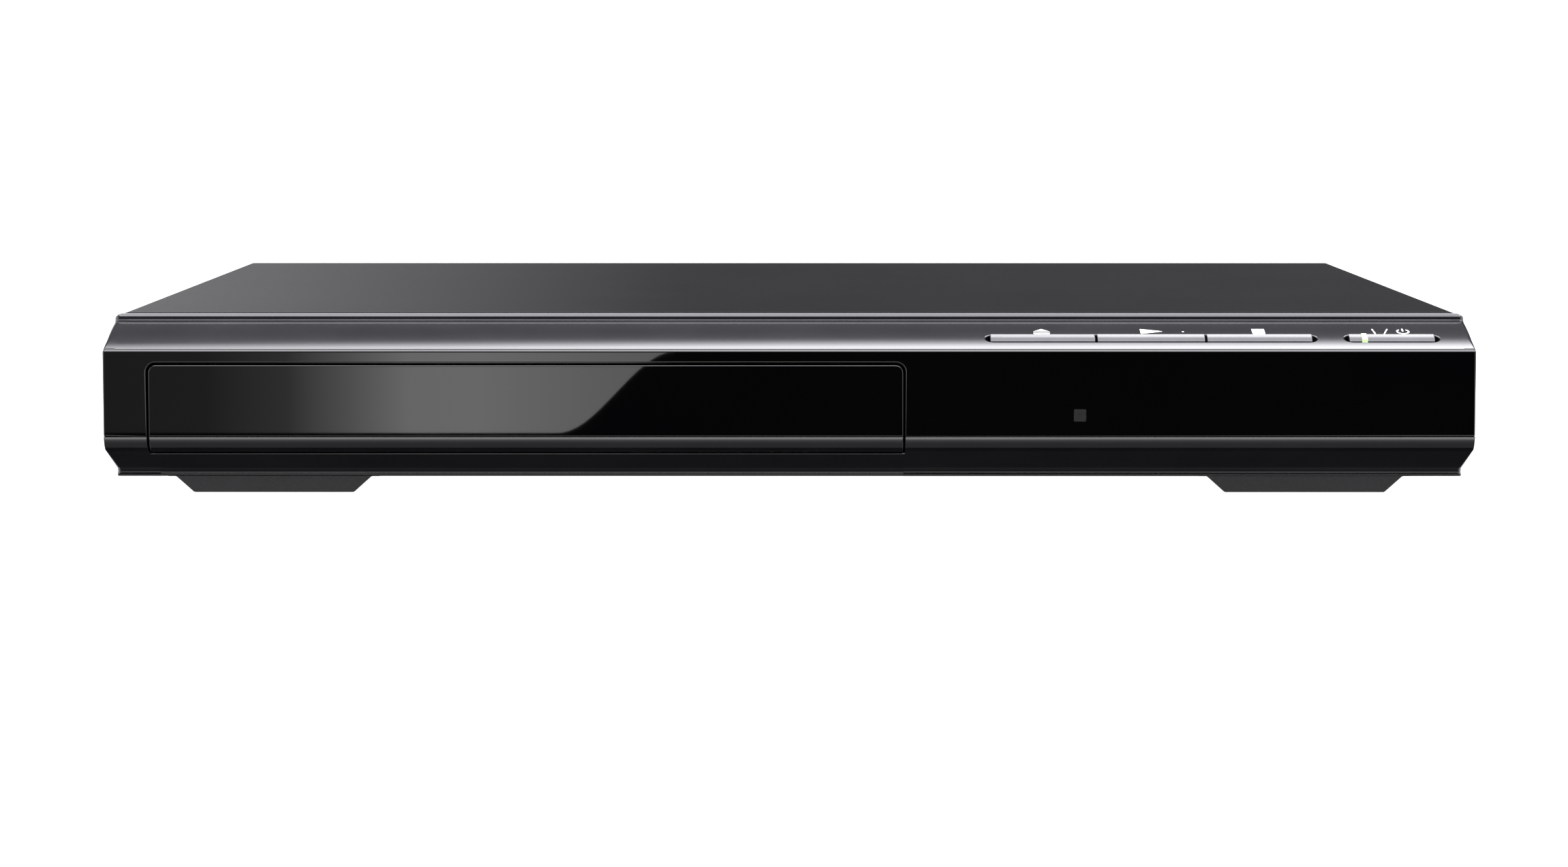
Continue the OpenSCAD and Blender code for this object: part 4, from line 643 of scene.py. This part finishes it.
class PlayerSizes(bpy.types.PropertyGroup):
    """Edge radii and the camera's place."""
    moulded_edge: length("Moulded edge", "Edge radius of the moulded outer pieces", 0.22)
    sheet_edge: length("Sheet edge", "Edge radius of sheet-metal pieces", 0.12)
    key_edge: length("Key edge", "Edge radius of the keys", 0.154)
    small_edge: length("Small edge", "Edge radius of gears, chips and other small inner pieces", 0.08)
    plate_edge: length("Plate edge", "Edge radius of the glossy plates", 0.6)
    camera_distance: length("Camera distance", "From the camera to the front plane", 744.02)
    camera_height: length("Camera height", "Height of the camera above the table", 90.29)


class PlayerColours(bpy.types.PropertyGroup):
    """Colours of the outer finishes."""
    cover: colour("Cover", "Paint of the top cover", "111113")
    panel: colour("Panel", "Moulded front panel", "17171A")
    window: colour("Window", "Glossy plates on the front", "020203")
    lamp: colour("Lamp", "Light bar in the power key", "B4E890")
    ink: colour("Ink", "Printed signs", "E9E9E6")


# ---------- Operators, one for each group of pieces ----------

class Stage(bpy.types.Operator):
    """Sets up the camera, a pale table and soft studio light"""
    bl_idname = "player.stage"
    bl_label = "Studio"

    def execute(self, context):
        scene, sizes = context.scene, context.scene.player_sizes
        camera = bpy.data.objects.new("camera", bpy.data.cameras.new("camera"))
        scene.collection.objects.link(camera)
        scene.camera = camera
        camera.location = (CAMERA_SIDE * MM, FRONT - sizes.camera_distance, sizes.camera_height)
        camera.rotation_euler = (math.radians(90 - CAMERA_PITCH), 0, math.radians(CAMERA_YAW))
        camera.data.sensor_width = SENSOR_WIDTH
        camera.data.lens = LENS
        camera.data.clip_end = 50
        scene.view_settings.view_transform = "Standard"
        self.table(context)
        self.sky(context)
        self.strip(context)
        self.upright_card(context)
        return {"FINISHED"}

    def table(self, context, half=3):
        """A plain white table that glows for the camera alone, so that it has no shadow and lends no tint."""
        mesh = bpy.data.meshes.new("table")
        corners = [[-half, -half, 0], [half, -half, 0], [half, half, 0], [-half, half, 0]]
        mesh.from_pydata(corners, [], [(0, 1, 2, 3)])
        material, tree, place = new_material("white_laminate")
        grain = add(tree, "TexNoise", {"Vector": place, "Scale": 1 / (2 * MM)})
        shade = add(tree, "ValToRGB", {"Fac": grain}, [(0, linear("FDFDFD")), (1, linear("FFFFFF"))])
        surface(tree, Base_Color=linear("808080"), Roughness=0.9, Emission_Color=shade, Emission_Strength=1.0)
        mesh.materials.append(material)
        table = bpy.data.objects.new("table", mesh)
        table.visible_glossy = table.visible_diffuse = table.visible_shadow = False
        context.scene.collection.objects.link(table)

    def sky(self, context):
        """Soft light by direction, and white to the camera: a wide softbox overhead that reaches a little
        lower at the right, darkness at the horizon but for a glow at the left, and fill lights at both sides
        and low behind."""
        world = bpy.data.worlds.new("studio")
        context.scene.world = world
        world.use_nodes = True
        tree = world.node_tree
        tree.nodes.clear()
        way = add(tree, "TexCoord").outputs["Generated"]
        split = add(tree, "SeparateXYZ", {"Vector": way}).outputs
        lean = 0.12
        height = add(tree, "Math", {0: split["X"], 1: lean, 2: split["Z"]}, operation="MULTIPLY_ADD")
        softbox = add(tree, "ValToRGB", {"Fac": height}, [
            (0.0, grey(0.0014)), (0.36, grey(0.004)), (0.43, grey(0.022)), (0.6, grey(0.019)),
            (0.68, grey(0.029)), (0.705, grey(0.073)), (0.735, grey(0.36)), (0.76, grey(0.75)),
            (0.78, grey(1.0)), (0.83, grey(1.0)), (0.9, grey(0.6))])
        left = add(tree, "MapRange", {
            "Value": split["X"], "From Min": -0.03, "From Max": -0.3, "To Min": 0.0, "To Max": 0.067})
        low = add(tree, "MapRange", {"Value": split["Z"], "From Min": 0.35, "From Max": 0.1})
        glow = add(tree, "Math", {0: left, 1: low}, operation="MULTIPLY")
        above = add(tree, "Math", {0: split["Z"], 1: 0.0}, operation="GREATER_THAN")
        across = add(tree, "Math", {0: split["X"]}, operation="ABSOLUTE")
        sides = add(tree, "MapRange", {
            "Value": across, "From Min": 0.5, "From Max": 0.9, "To Min": 0.0, "To Max": 0.25})
        behind = add(tree, "MapRange", {
            "Value": split["Y"], "From Min": 0.1, "From Max": 0.6, "To Min": 0.0, "To Max": 0.07})
        down = add(tree, "Math", {0: split["Z"], 1: -1.0}, operation="MULTIPLY")
        below = add(tree, "ValToRGB", {"Fac": down}, [
            (0.0, grey(0.0)), (0.03, grey(0.0)), (0.06, grey(1.0)), (0.34, grey(1.0)), (0.42, grey(0.0))])
        level = softbox
        for light, where in ((glow, above), (sides, 1.0), (behind, below)):
            level = add(tree, "Math", {0: light, 1: where, 2: level}, operation="MULTIPLY_ADD")
        tint = add(tree, "VectorMath", {0: (1.0, 0.99, 1.03), "Scale": level}, operation="SCALE")
        light = add(tree, "Background", {"Color": tint, "Strength": 11.0})
        white = add(tree, "Background", {"Color": grey(1.0), "Strength": 1.0})
        seen = add(tree, "LightPath").outputs["Is Camera Ray"]
        both = add(tree, "MixShader", {0: seen, 1: light, 2: white})
        add(tree, "OutputWorld", {"Surface": both})

    def strip(self, context):
        """A light card low in front, wider at the right, which the nose reflects as a bright line."""
        front, below, side = FRONT / MM, -200, 900
        reach_left, reach_right = 900, 1500
        corners = np.array([[-side, front - reach_left, below], [side, front - reach_right, below],
                            [side, front, below], [-side, front, below]])
        levels = [(0.0, 5.0), (0.45, 5.0), (0.62, 3.4), (0.7, 1.8), (0.76, 1.0), (0.83, 0.6),
                  (0.89, 0.4), (1.0, 0.3)]
        self.card(context, "strip_card", corners, [(0, 1, 2, 3)], "Y", levels)

    def upright_card(self, context, rows=9, columns=81):
        """A light card that stands in front of the tray, which the face reflects. Its lower edge rises at its
        right end by the smooth step s * s * (3 - 2 * s)."""
        away, left, step_left, right = 100, -160, -51.5, -25.5
        low, high, top = 5.95, 24.2, 26
        rise, x = np.meshgrid(np.linspace(0, 1, rows), np.linspace(left, right, columns), indexing="ij")
        share = np.clip((x - step_left) / (right - step_left), 0, 1)
        bottom = low + (high - low) * share ** 2 * (3 - 2 * share)
        y = np.full_like(x, FRONT / MM - away)
        points = np.stack([x, y, bottom + rise * (top - bottom)], axis=-1).reshape(-1, 3)
        i, j = np.meshgrid(np.arange(rows - 1), np.arange(columns - 1), indexing="ij")
        at = i * columns + j
        faces = np.stack([at, at + 1, at + columns + 1, at + columns], axis=-1).reshape(-1, 4).tolist()
        levels = [(0.0, 0.24), (0.22, 0.29), (0.357, 0.66), (0.46, 1.9), (0.558, 3.37), (0.67, 3.5),
                  (0.88, 2.7), (1.0, 2.4)]
        self.card(context, "upright_card", points, faces, "X", levels)

    def card(self, context, name, points, faces, axis, levels):
        """A card that only reflections see. Its radiance goes by levels along an axis, from the lowest to the
        highest of its points."""
        mesh = bpy.data.meshes.new(name)
        mesh.from_pydata((points * MM).tolist(), [], faces)
        material, tree, place = new_material(name)
        split = add(tree, "SeparateXYZ", {"Vector": place})
        ends = points[:, "XYZ".index(axis)] * MM
        along = add(tree, "MapRange", {
            "Value": split.outputs[axis], "From Min": ends.min(), "From Max": ends.max()})
        top = max(level for _, level in levels)
        ramp = add(tree, "ValToRGB", {"Fac": along}, [(at, grey(level / top)) for at, level in levels])
        glow = add(tree, "Emission", {"Color": ramp, "Strength": top})
        add(tree, "OutputMaterial", {"Surface": glow})
        mesh.materials.append(material)
        card = bpy.data.objects.new(name, mesh)
        card.visible_camera = card.visible_diffuse = card.visible_shadow = card.visible_transmission = False
        context.scene.collection.objects.link(card)


class Cabinet(bpy.types.Operator):
    """Paints the cover and rear panel and finishes the chassis, feet and screws"""
    bl_idname = "player.cabinet"
    bl_label = "Cabinet"

    def execute(self, context):
        return finish_group(
            context,
            sheet_edge="top_cover rear_panel bottom_chassis insulating_sheet",
            moulded_edge="foot_front_left foot_front_right foot_rear_left foot_rear_right cord_gland",
            small_edge="cover_screws bottom_screws")


class Front(bpy.types.Operator):
    """Moulds the front panel and the tray's door, and lays their glossy plates on them"""
    bl_idname = "player.front"
    bl_label = "Front"

    def execute(self, context):
        (left, _, low), (right, thick, high) = in_mm(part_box("front_window"))
        self.face_plate(context, left, right, low, high, thick)
        self.door(context, low, thick)
        self.moulding(context, left, right, low, high, thick)
        self.receiver(context)
        return {"FINISHED"}

    def face_plate(self, context, left, right, low, high, thick, margin=1, opening_edge=0.25):
        """The glossy plate, with a wider rounded edge outside than round the door."""
        outline = self.notched(left, right, low, high)
        x, z = outline[0].T
        beside_door = (x > left + margin) & (x < right - margin) & (z < high - margin)
        edge = np.where(beside_door, opening_edge, context.scene.player_sizes.plate_edge / MM)
        plate = upright(slab(outline, 0, thick, edge, HIDDEN))
        new_piece(context, "face_plate", [plate], "window_pc", "cabinet", "front_window")

    def door(self, context, low, thick, edge=0.3, end_edge=0.2):
        """The door's glossy plate, and behind and under it the moulding with its part of the nose."""
        (left, _, _), (right, _, high) = in_mm(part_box("door_window"))
        radius = OPENING_RADIUS - DOOR_GAP
        outline = rectangle(left, low, right, high, [0.2, 0.2, radius, radius])
        plate = upright(slab(outline, 0, thick, edge, HIDDEN))
        new_piece(context, "door_plate", [plate], "window_pc", "tray", "door_window")
        back = (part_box("tray_door")[1].y - FRONT) / MM
        backing = upright(slab(outline, thick, back, HIDDEN, 0.15))
        nose = along_x(slab(self.door_nose(low, back), left, right, end_edge, end_edge))
        new_piece(context, "door_moulding", [backing, nose], "panel_abs", "tray", "tray_door")

    def moulding(self, context, left, right, low, high, thick):
        """The front panel: both ends, and between them the wall, rails, nose bars and slope."""
        left, right = left + WALL, right - WALL
        wall = self.notched(left, right, low, high - WALL)
        skins = [upright(slab(wall, thick, thick + WALL, HIDDEN, HIDDEN)), *self.ends(right, low)]
        skins += [along_x(slab(rail, left, right, FLUSH, FLUSH)) for rail in self.rails()]
        skins += self.noses(left, right, low)
        new_piece(context, "front_moulding", skins, "panel_abs", "cabinet", "front_panel",
                  rings=self.slot_walls(left, right))

    def receiver(self, context, left=56.0, low=18.2, size=2.4, radius=0.2, proud=0.012, thick=0.3):
        """The square of the remote receiver, which shows faintly in the glossy plate."""
        outline = rectangle(left, low, left + size, low + size, radius)
        square = upright(slab(outline, -proud, thick, FLUSH, 0))
        new_piece(context, "receiver_mark", [square], "receiver_filter", "cabinet")

    def opening(self):
        """Left, right and top of the opening for the door."""
        (left, _, _), (right, _, top) = in_mm(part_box("door_window"))
        return left - DOOR_GAP, right + DOOR_GAP, top + DOOR_GAP

    def notched(self, left, right, low, high, foot=0.12, lower=0.3, upper=0.5):
        """Outline in X and Z of a plate with the door's opening cut in from below."""
        start, end, top = self.opening()
        corners = [(left, low), (start, low), (start, top), (end, top), (end, low), (right, low),
                   (right, high), (left, high)]
        return rounded(corners, [lower, foot, OPENING_RADIUS, OPENING_RADIUS, foot, lower, upper, upper])

    def nose_corners(self, low):
        """Depth and height of the nose's upper and rounded corner, under which the bevel runs back."""
        return (0, low), (0, low - NOSE_RADIUS * math.tan(math.radians((90 - BEVEL_ANGLE) / 2)))

    def lip_corners(self, low):
        """Corners of the lip: where the bevel ends under the strip, and the moulding's foot."""
        rim = SLOPE_REAR[0]
        return (rim, self.nose_corners(low)[1][1] - rim * BEVEL), (rim, LIP_FOOT)

    def door_nose(self, low, back, reach=2.3):
        """Outline of the door's part of the nose, in depth and Z, whose bevel runs back as far as reach."""
        top, corner = self.nose_corners(low)
        bottom = corner[1] - reach * BEVEL
        return rounded([(back, bottom), (back, low), top, corner, (reach, bottom)],
                       [0.2, 0.02, HIDDEN, NOSE_RADIUS, 0.3])

    def ends(self, right, low, steps=6, arc_points=15):
        """Both ends of the moulding: its whole outline, a wall thick, which widens by the flare towards the
        rear. The slope's arc is put in between the corners at its two edges, and the rear stays flat against
        the cover."""
        (front, _), (rim, _) = SLOPE_FRONT, SLOPE_REAR
        corners = [(PANEL_DEPTH, LIP_FOOT), (PANEL_DEPTH, RIM_HEIGHT), (rim, RIM_HEIGHT), SLOPE_REAR,
                   SLOPE_FRONT, (front, low), *self.nose_corners(low), *self.lip_corners(low)]
        radii = [HIDDEN, HIDDEN, RIM_RADIUS, FILLET, SLOPE_EDGE, HIDDEN, HIDDEN, NOSE_RADIUS, *LIP_RADII]
        points, normals, limit = rounded(corners, radii, steps)
        way = np.linspace(slope_way(rim - RAIL), slope_way(front + 0.4), arc_points)
        zero = np.zeros_like(way)
        arc = on_slope(np.array([[[zero, way, zero]], [[zero, zero, zero + 1]]]).swapaxes(2, 3))
        at = 4 * (steps + 1)
        points, normals = (np.insert(old, at, new[0, :, 1:], axis=0)
                           for old, new in zip((points, normals), arc))
        limit = np.insert(limit, at, np.full(arc_points, np.inf))
        rear = points[:, 0] > PANEL_DEPTH - 0.1
        normals[rear] = np.column_stack([np.zeros(rear.sum()), np.where(points[rear, 1] > low, 1.0, -1.0)])
        limit[rear | (points[:, 1] > RIM_HEIGHT - RIM_RADIUS - 0.01)] = np.inf
        # The side's edge widens from the front to the rim, and is narrower at the foot.
        edge = np.interp(points[:, 0], [front, 6, rim, rim + RIM_RADIUS], [0.3, 0.9, 0.9, 1.6])
        edge = np.where(points[:, 1] < LIP_FOOT + 0.6, 0.4, edge)
        skin = along_x(slab((points, normals, limit), right, right + WALL, FLUSH, edge, 5))
        share = (skin[0, ..., 0] - right) / WALL
        skin[0, ..., 0] += FLARE * share * skin[0, ..., 1] / PANEL_DEPTH
        return [skin, skin * (-1, 1, 1)]

    def rails(self, depth=3):
        """Outlines of the slope's front edge over the plates, and of its rear edge with strip and rim."""
        (front, low), (rear, high) = SLOPE_FRONT, SLOPE_REAR
        inner, outer = front + RAIL, rear - RAIL
        inner_height, outer_height = slope_height(np.array([inner, outer]))
        front_rail = [(inner, inner_height - depth), (inner, inner_height), (front, low),
                      (front, inner_height - depth)]
        rear_rail = [(PANEL_DEPTH, outer_height - WALL), (PANEL_DEPTH, RIM_HEIGHT), (rear, RIM_HEIGHT),
                     (rear, high), (outer, outer_height), (outer, outer_height - WALL)]
        return [rounded(front_rail, [0.02, 0.02, SLOPE_EDGE, 0.02]),
                rounded(rear_rail, [HIDDEN, HIDDEN, RIM_RADIUS, FILLET, 0.02, HIDDEN])]

    def noses(self, left, right, low, nose_depth=3.6, nose_height=1.6, setback=0.2):
        """The nose and bevel: full at both sides of the door, and cut off under its opening between them."""
        start, end, _ = self.opening()
        nose_top, nose = self.nose_corners(low)
        lip = self.lip_corners(low)
        inner = SLOPE_REAR[0] - setback
        back = [(PANEL_DEPTH, LIP_FOOT), (PANEL_DEPTH, LIP_INSIDE), (inner, LIP_INSIDE)]
        full = rounded([*back, (nose_depth, low - nose_height), (nose_depth, low), nose_top, nose, *lip],
                       [HIDDEN, HIDDEN, 0.3, 0.3, HIDDEN, HIDDEN, NOSE_RADIUS, *LIP_RADII])
        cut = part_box("tray_door")[0].z / MM - DOOR_GAP
        slant = (inner - nose_depth) / (low - nose_height - LIP_INSIDE)
        cut_rear, cut_front = inner - (cut - LIP_INSIDE) * slant, (nose[1] - cut) / BEVEL
        under = rounded([*back, (cut_rear, cut), (cut_front, cut), *lip],
                        [HIDDEN, HIDDEN, 0.3, 0.1, 0.2, 0.5, 0.5])
        beside = 0.04  # edge beside the door
        bars = [(full, left, start, FLUSH, beside), (under, start, end, FLUSH, FLUSH),
                (full, end, right, beside, FLUSH)]
        return [along_x(slab(*bar)) for bar in bars]

    def slot_walls(self, left, right, point=1.0):
        """The slope's wall between its rails, a piece for each slot, whose ends stand out past the keys."""
        front, rear = slope_way(SLOPE_FRONT[0] + RAIL), slope_way(SLOPE_REAR[0] - RAIL)
        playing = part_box("eject_button")[0].x / MM - point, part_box("stop_button")[1].x / MM + point
        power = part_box("power_button")[0].x / MM - point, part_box("power_button")[1].x / MM + point
        between = (playing[1] + power[0]) / 2
        return [on_slope(slotted(left, between, front, rear, *playing)),
                on_slope(slotted(between, right, front, rear, *power))]


class Keys(bpy.types.Operator):
    """Finishes the four keys, the light bar and the pieces behind them"""
    bl_idname = "player.keys"
    bl_label = "Keys"

    def execute(self, context):
        return finish_group(
            context,
            key_edge="eject_button play_button stop_button power_button",
            small_edge="light_guide status_led front_board key_switches ir_receiver")


class Signs(bpy.types.Operator):
    """Prints the usual signs of the keys on the slope"""
    bl_idname = "player.signs"
    bl_label = "Signs"

    def execute(self, context):
        marks = [printed(outline) for outline in self.signs()]
        new_piece(context, "printed_signs", marks, "printed_ink", "cabinet")
        return {"FINISHED"}

    def signs(self):
        """Outlines of the usual signs in X and way up the slope, in mm: eject, play and its dot, stop, on,
        stroke and standby."""
        low, high, sharp = 2.3, 5.0, 0.05
        eject, play, dot, stop, on, stroke, standby = 50.1, 72.0, 78.2, 93.2, 116.1, 118.5, 121.9
        lines = [[(foot - 0.14, low), (foot + 0.14, low), (head + 0.14, high), (head - 0.14, high)]
                 for foot, head in ((on + 0.16, on - 0.16), (stroke - 0.46, stroke + 0.46))]
        ring = np.array([standby, low + 1.3])
        return [
            rectangle(eject - 1.6, low, eject + 1.6, low + 0.6, sharp),
            rounded([(eject - 1.7, low + 1.2), (eject + 1.7, low + 1.2), (eject, high)], sharp),
            rounded([(play - 2.25, low), (play + 2.25, (low + high) / 2), (play - 2.25, high)], sharp),
            rectangle(dot - 0.2, low + 1.0, dot + 0.2, low + 1.4, 0.19),
            rectangle(stop - 1.25, low, stop + 1.25, high, sharp),
            *(rounded(line, 0.04) for line in lines),
            ring_sector(ring, 1.0, 1.3, 125, 415),
            rectangle(standby - 0.15, ring[1] + 0.1, standby + 0.15, high + 0.1, 0.04),
        ]


class Tray(bpy.types.Operator):
    """Finishes the disc tray"""
    bl_idname = "player.tray"
    bl_label = "Tray"

    def execute(self, context):
        return finish_group(context, moulded_edge="disc_tray")


class Loader(bpy.types.Operator):
    """Finishes the loader's frame, drive, bridge and clamper"""
    bl_idname = "player.loader"
    bl_label = "Loader"

    def execute(self, context):
        return finish_group(
            context,
            moulded_edge="loader_frame cam_slider clamper",
            sheet_edge="clamp_bridge loading_motor clamper_magnet",
            small_edge="loader_bushes loader_screws bridge_screws motor_pulley drive_belt pulley_gear "
                       "drive_gear")


class Traverse(bpy.types.Operator):
    """Finishes the pickup traverse: spindle, turntable, rods, sled, lens and feed gears"""
    bl_idname = "player.traverse"
    bl_label = "Traverse"

    def execute(self, context):
        return finish_group(
            context,
            moulded_edge="traverse_frame pickup_sled",
            small_edge="spindle_motor turntable turntable_pad guide_rods objective_lens feed_motor "
                       "feed_pinion feed_gear")


class Boards(bpy.types.Operator):
    """Finishes the circuit boards and what stands on them"""
    bl_idname = "player.boards"
    bl_label = "Boards"

    def execute(self, context):
        return finish_group(
            context,
            small_edge="main_board power_board decoder_chips board_connectors transformer capacitor "
                       "heatsink board_screws front_ribbon")


class Sockets(bpy.types.Operator):
    """Finishes the rear sockets, each core in its signal's colour"""
    bl_idname = "player.sockets"
    bl_label = "Sockets"

    def execute(self, context):
        return finish_group(context, small_edge="socket_block socket_sleeves socket_cores")


OPERATORS = (Stage, Cabinet, Front, Keys, Signs, Tray, Loader, Traverse, Boards, Sockets)


class PlayerPanel(bpy.types.Panel):
    """Lists the steps with the sizes and colours they use"""
    bl_idname = "VIEW3D_PT_disc_player"
    bl_label = "Slim disc player"
    bl_space_type = "VIEW_3D"
    bl_region_type = "UI"
    bl_category = "Disc Player"

    def draw(self, context):
        for group in (context.scene.player_sizes, context.scene.player_colours):
            box = self.layout.box()
            for name in group.__annotations__:
                box.prop(group, name)
        for step in OPERATORS:
            self.layout.operator(step.bl_idname)


CLASSES = (PlayerSizes, PlayerColours, *OPERATORS, PlayerPanel)


def register():
    for made in CLASSES:
        bpy.utils.register_class(made)
    bpy.types.Scene.player_sizes = bpy.props.PointerProperty(type=PlayerSizes)
    bpy.types.Scene.player_colours = bpy.props.PointerProperty(type=PlayerColours)


def unregister():
    del bpy.types.Scene.player_sizes, bpy.types.Scene.player_colours
    for made in reversed(CLASSES):
        bpy.utils.unregister_class(made)


def main():
    """Registers the add-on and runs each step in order."""
    register()
    for step in OPERATORS:
        getattr(bpy.ops.player, step.bl_idname.split(".")[1])()
    moulded = {"front_panel", "front_window", "tray_door", "door_window"}
    undressed = {name for name, node in frame["nodes"].items() if not node.modifiers} - moulded
    if undressed:
        raise RuntimeError(f"these pieces have no finish: {sorted(undressed)}")


if __name__ == "__main__":
    main()
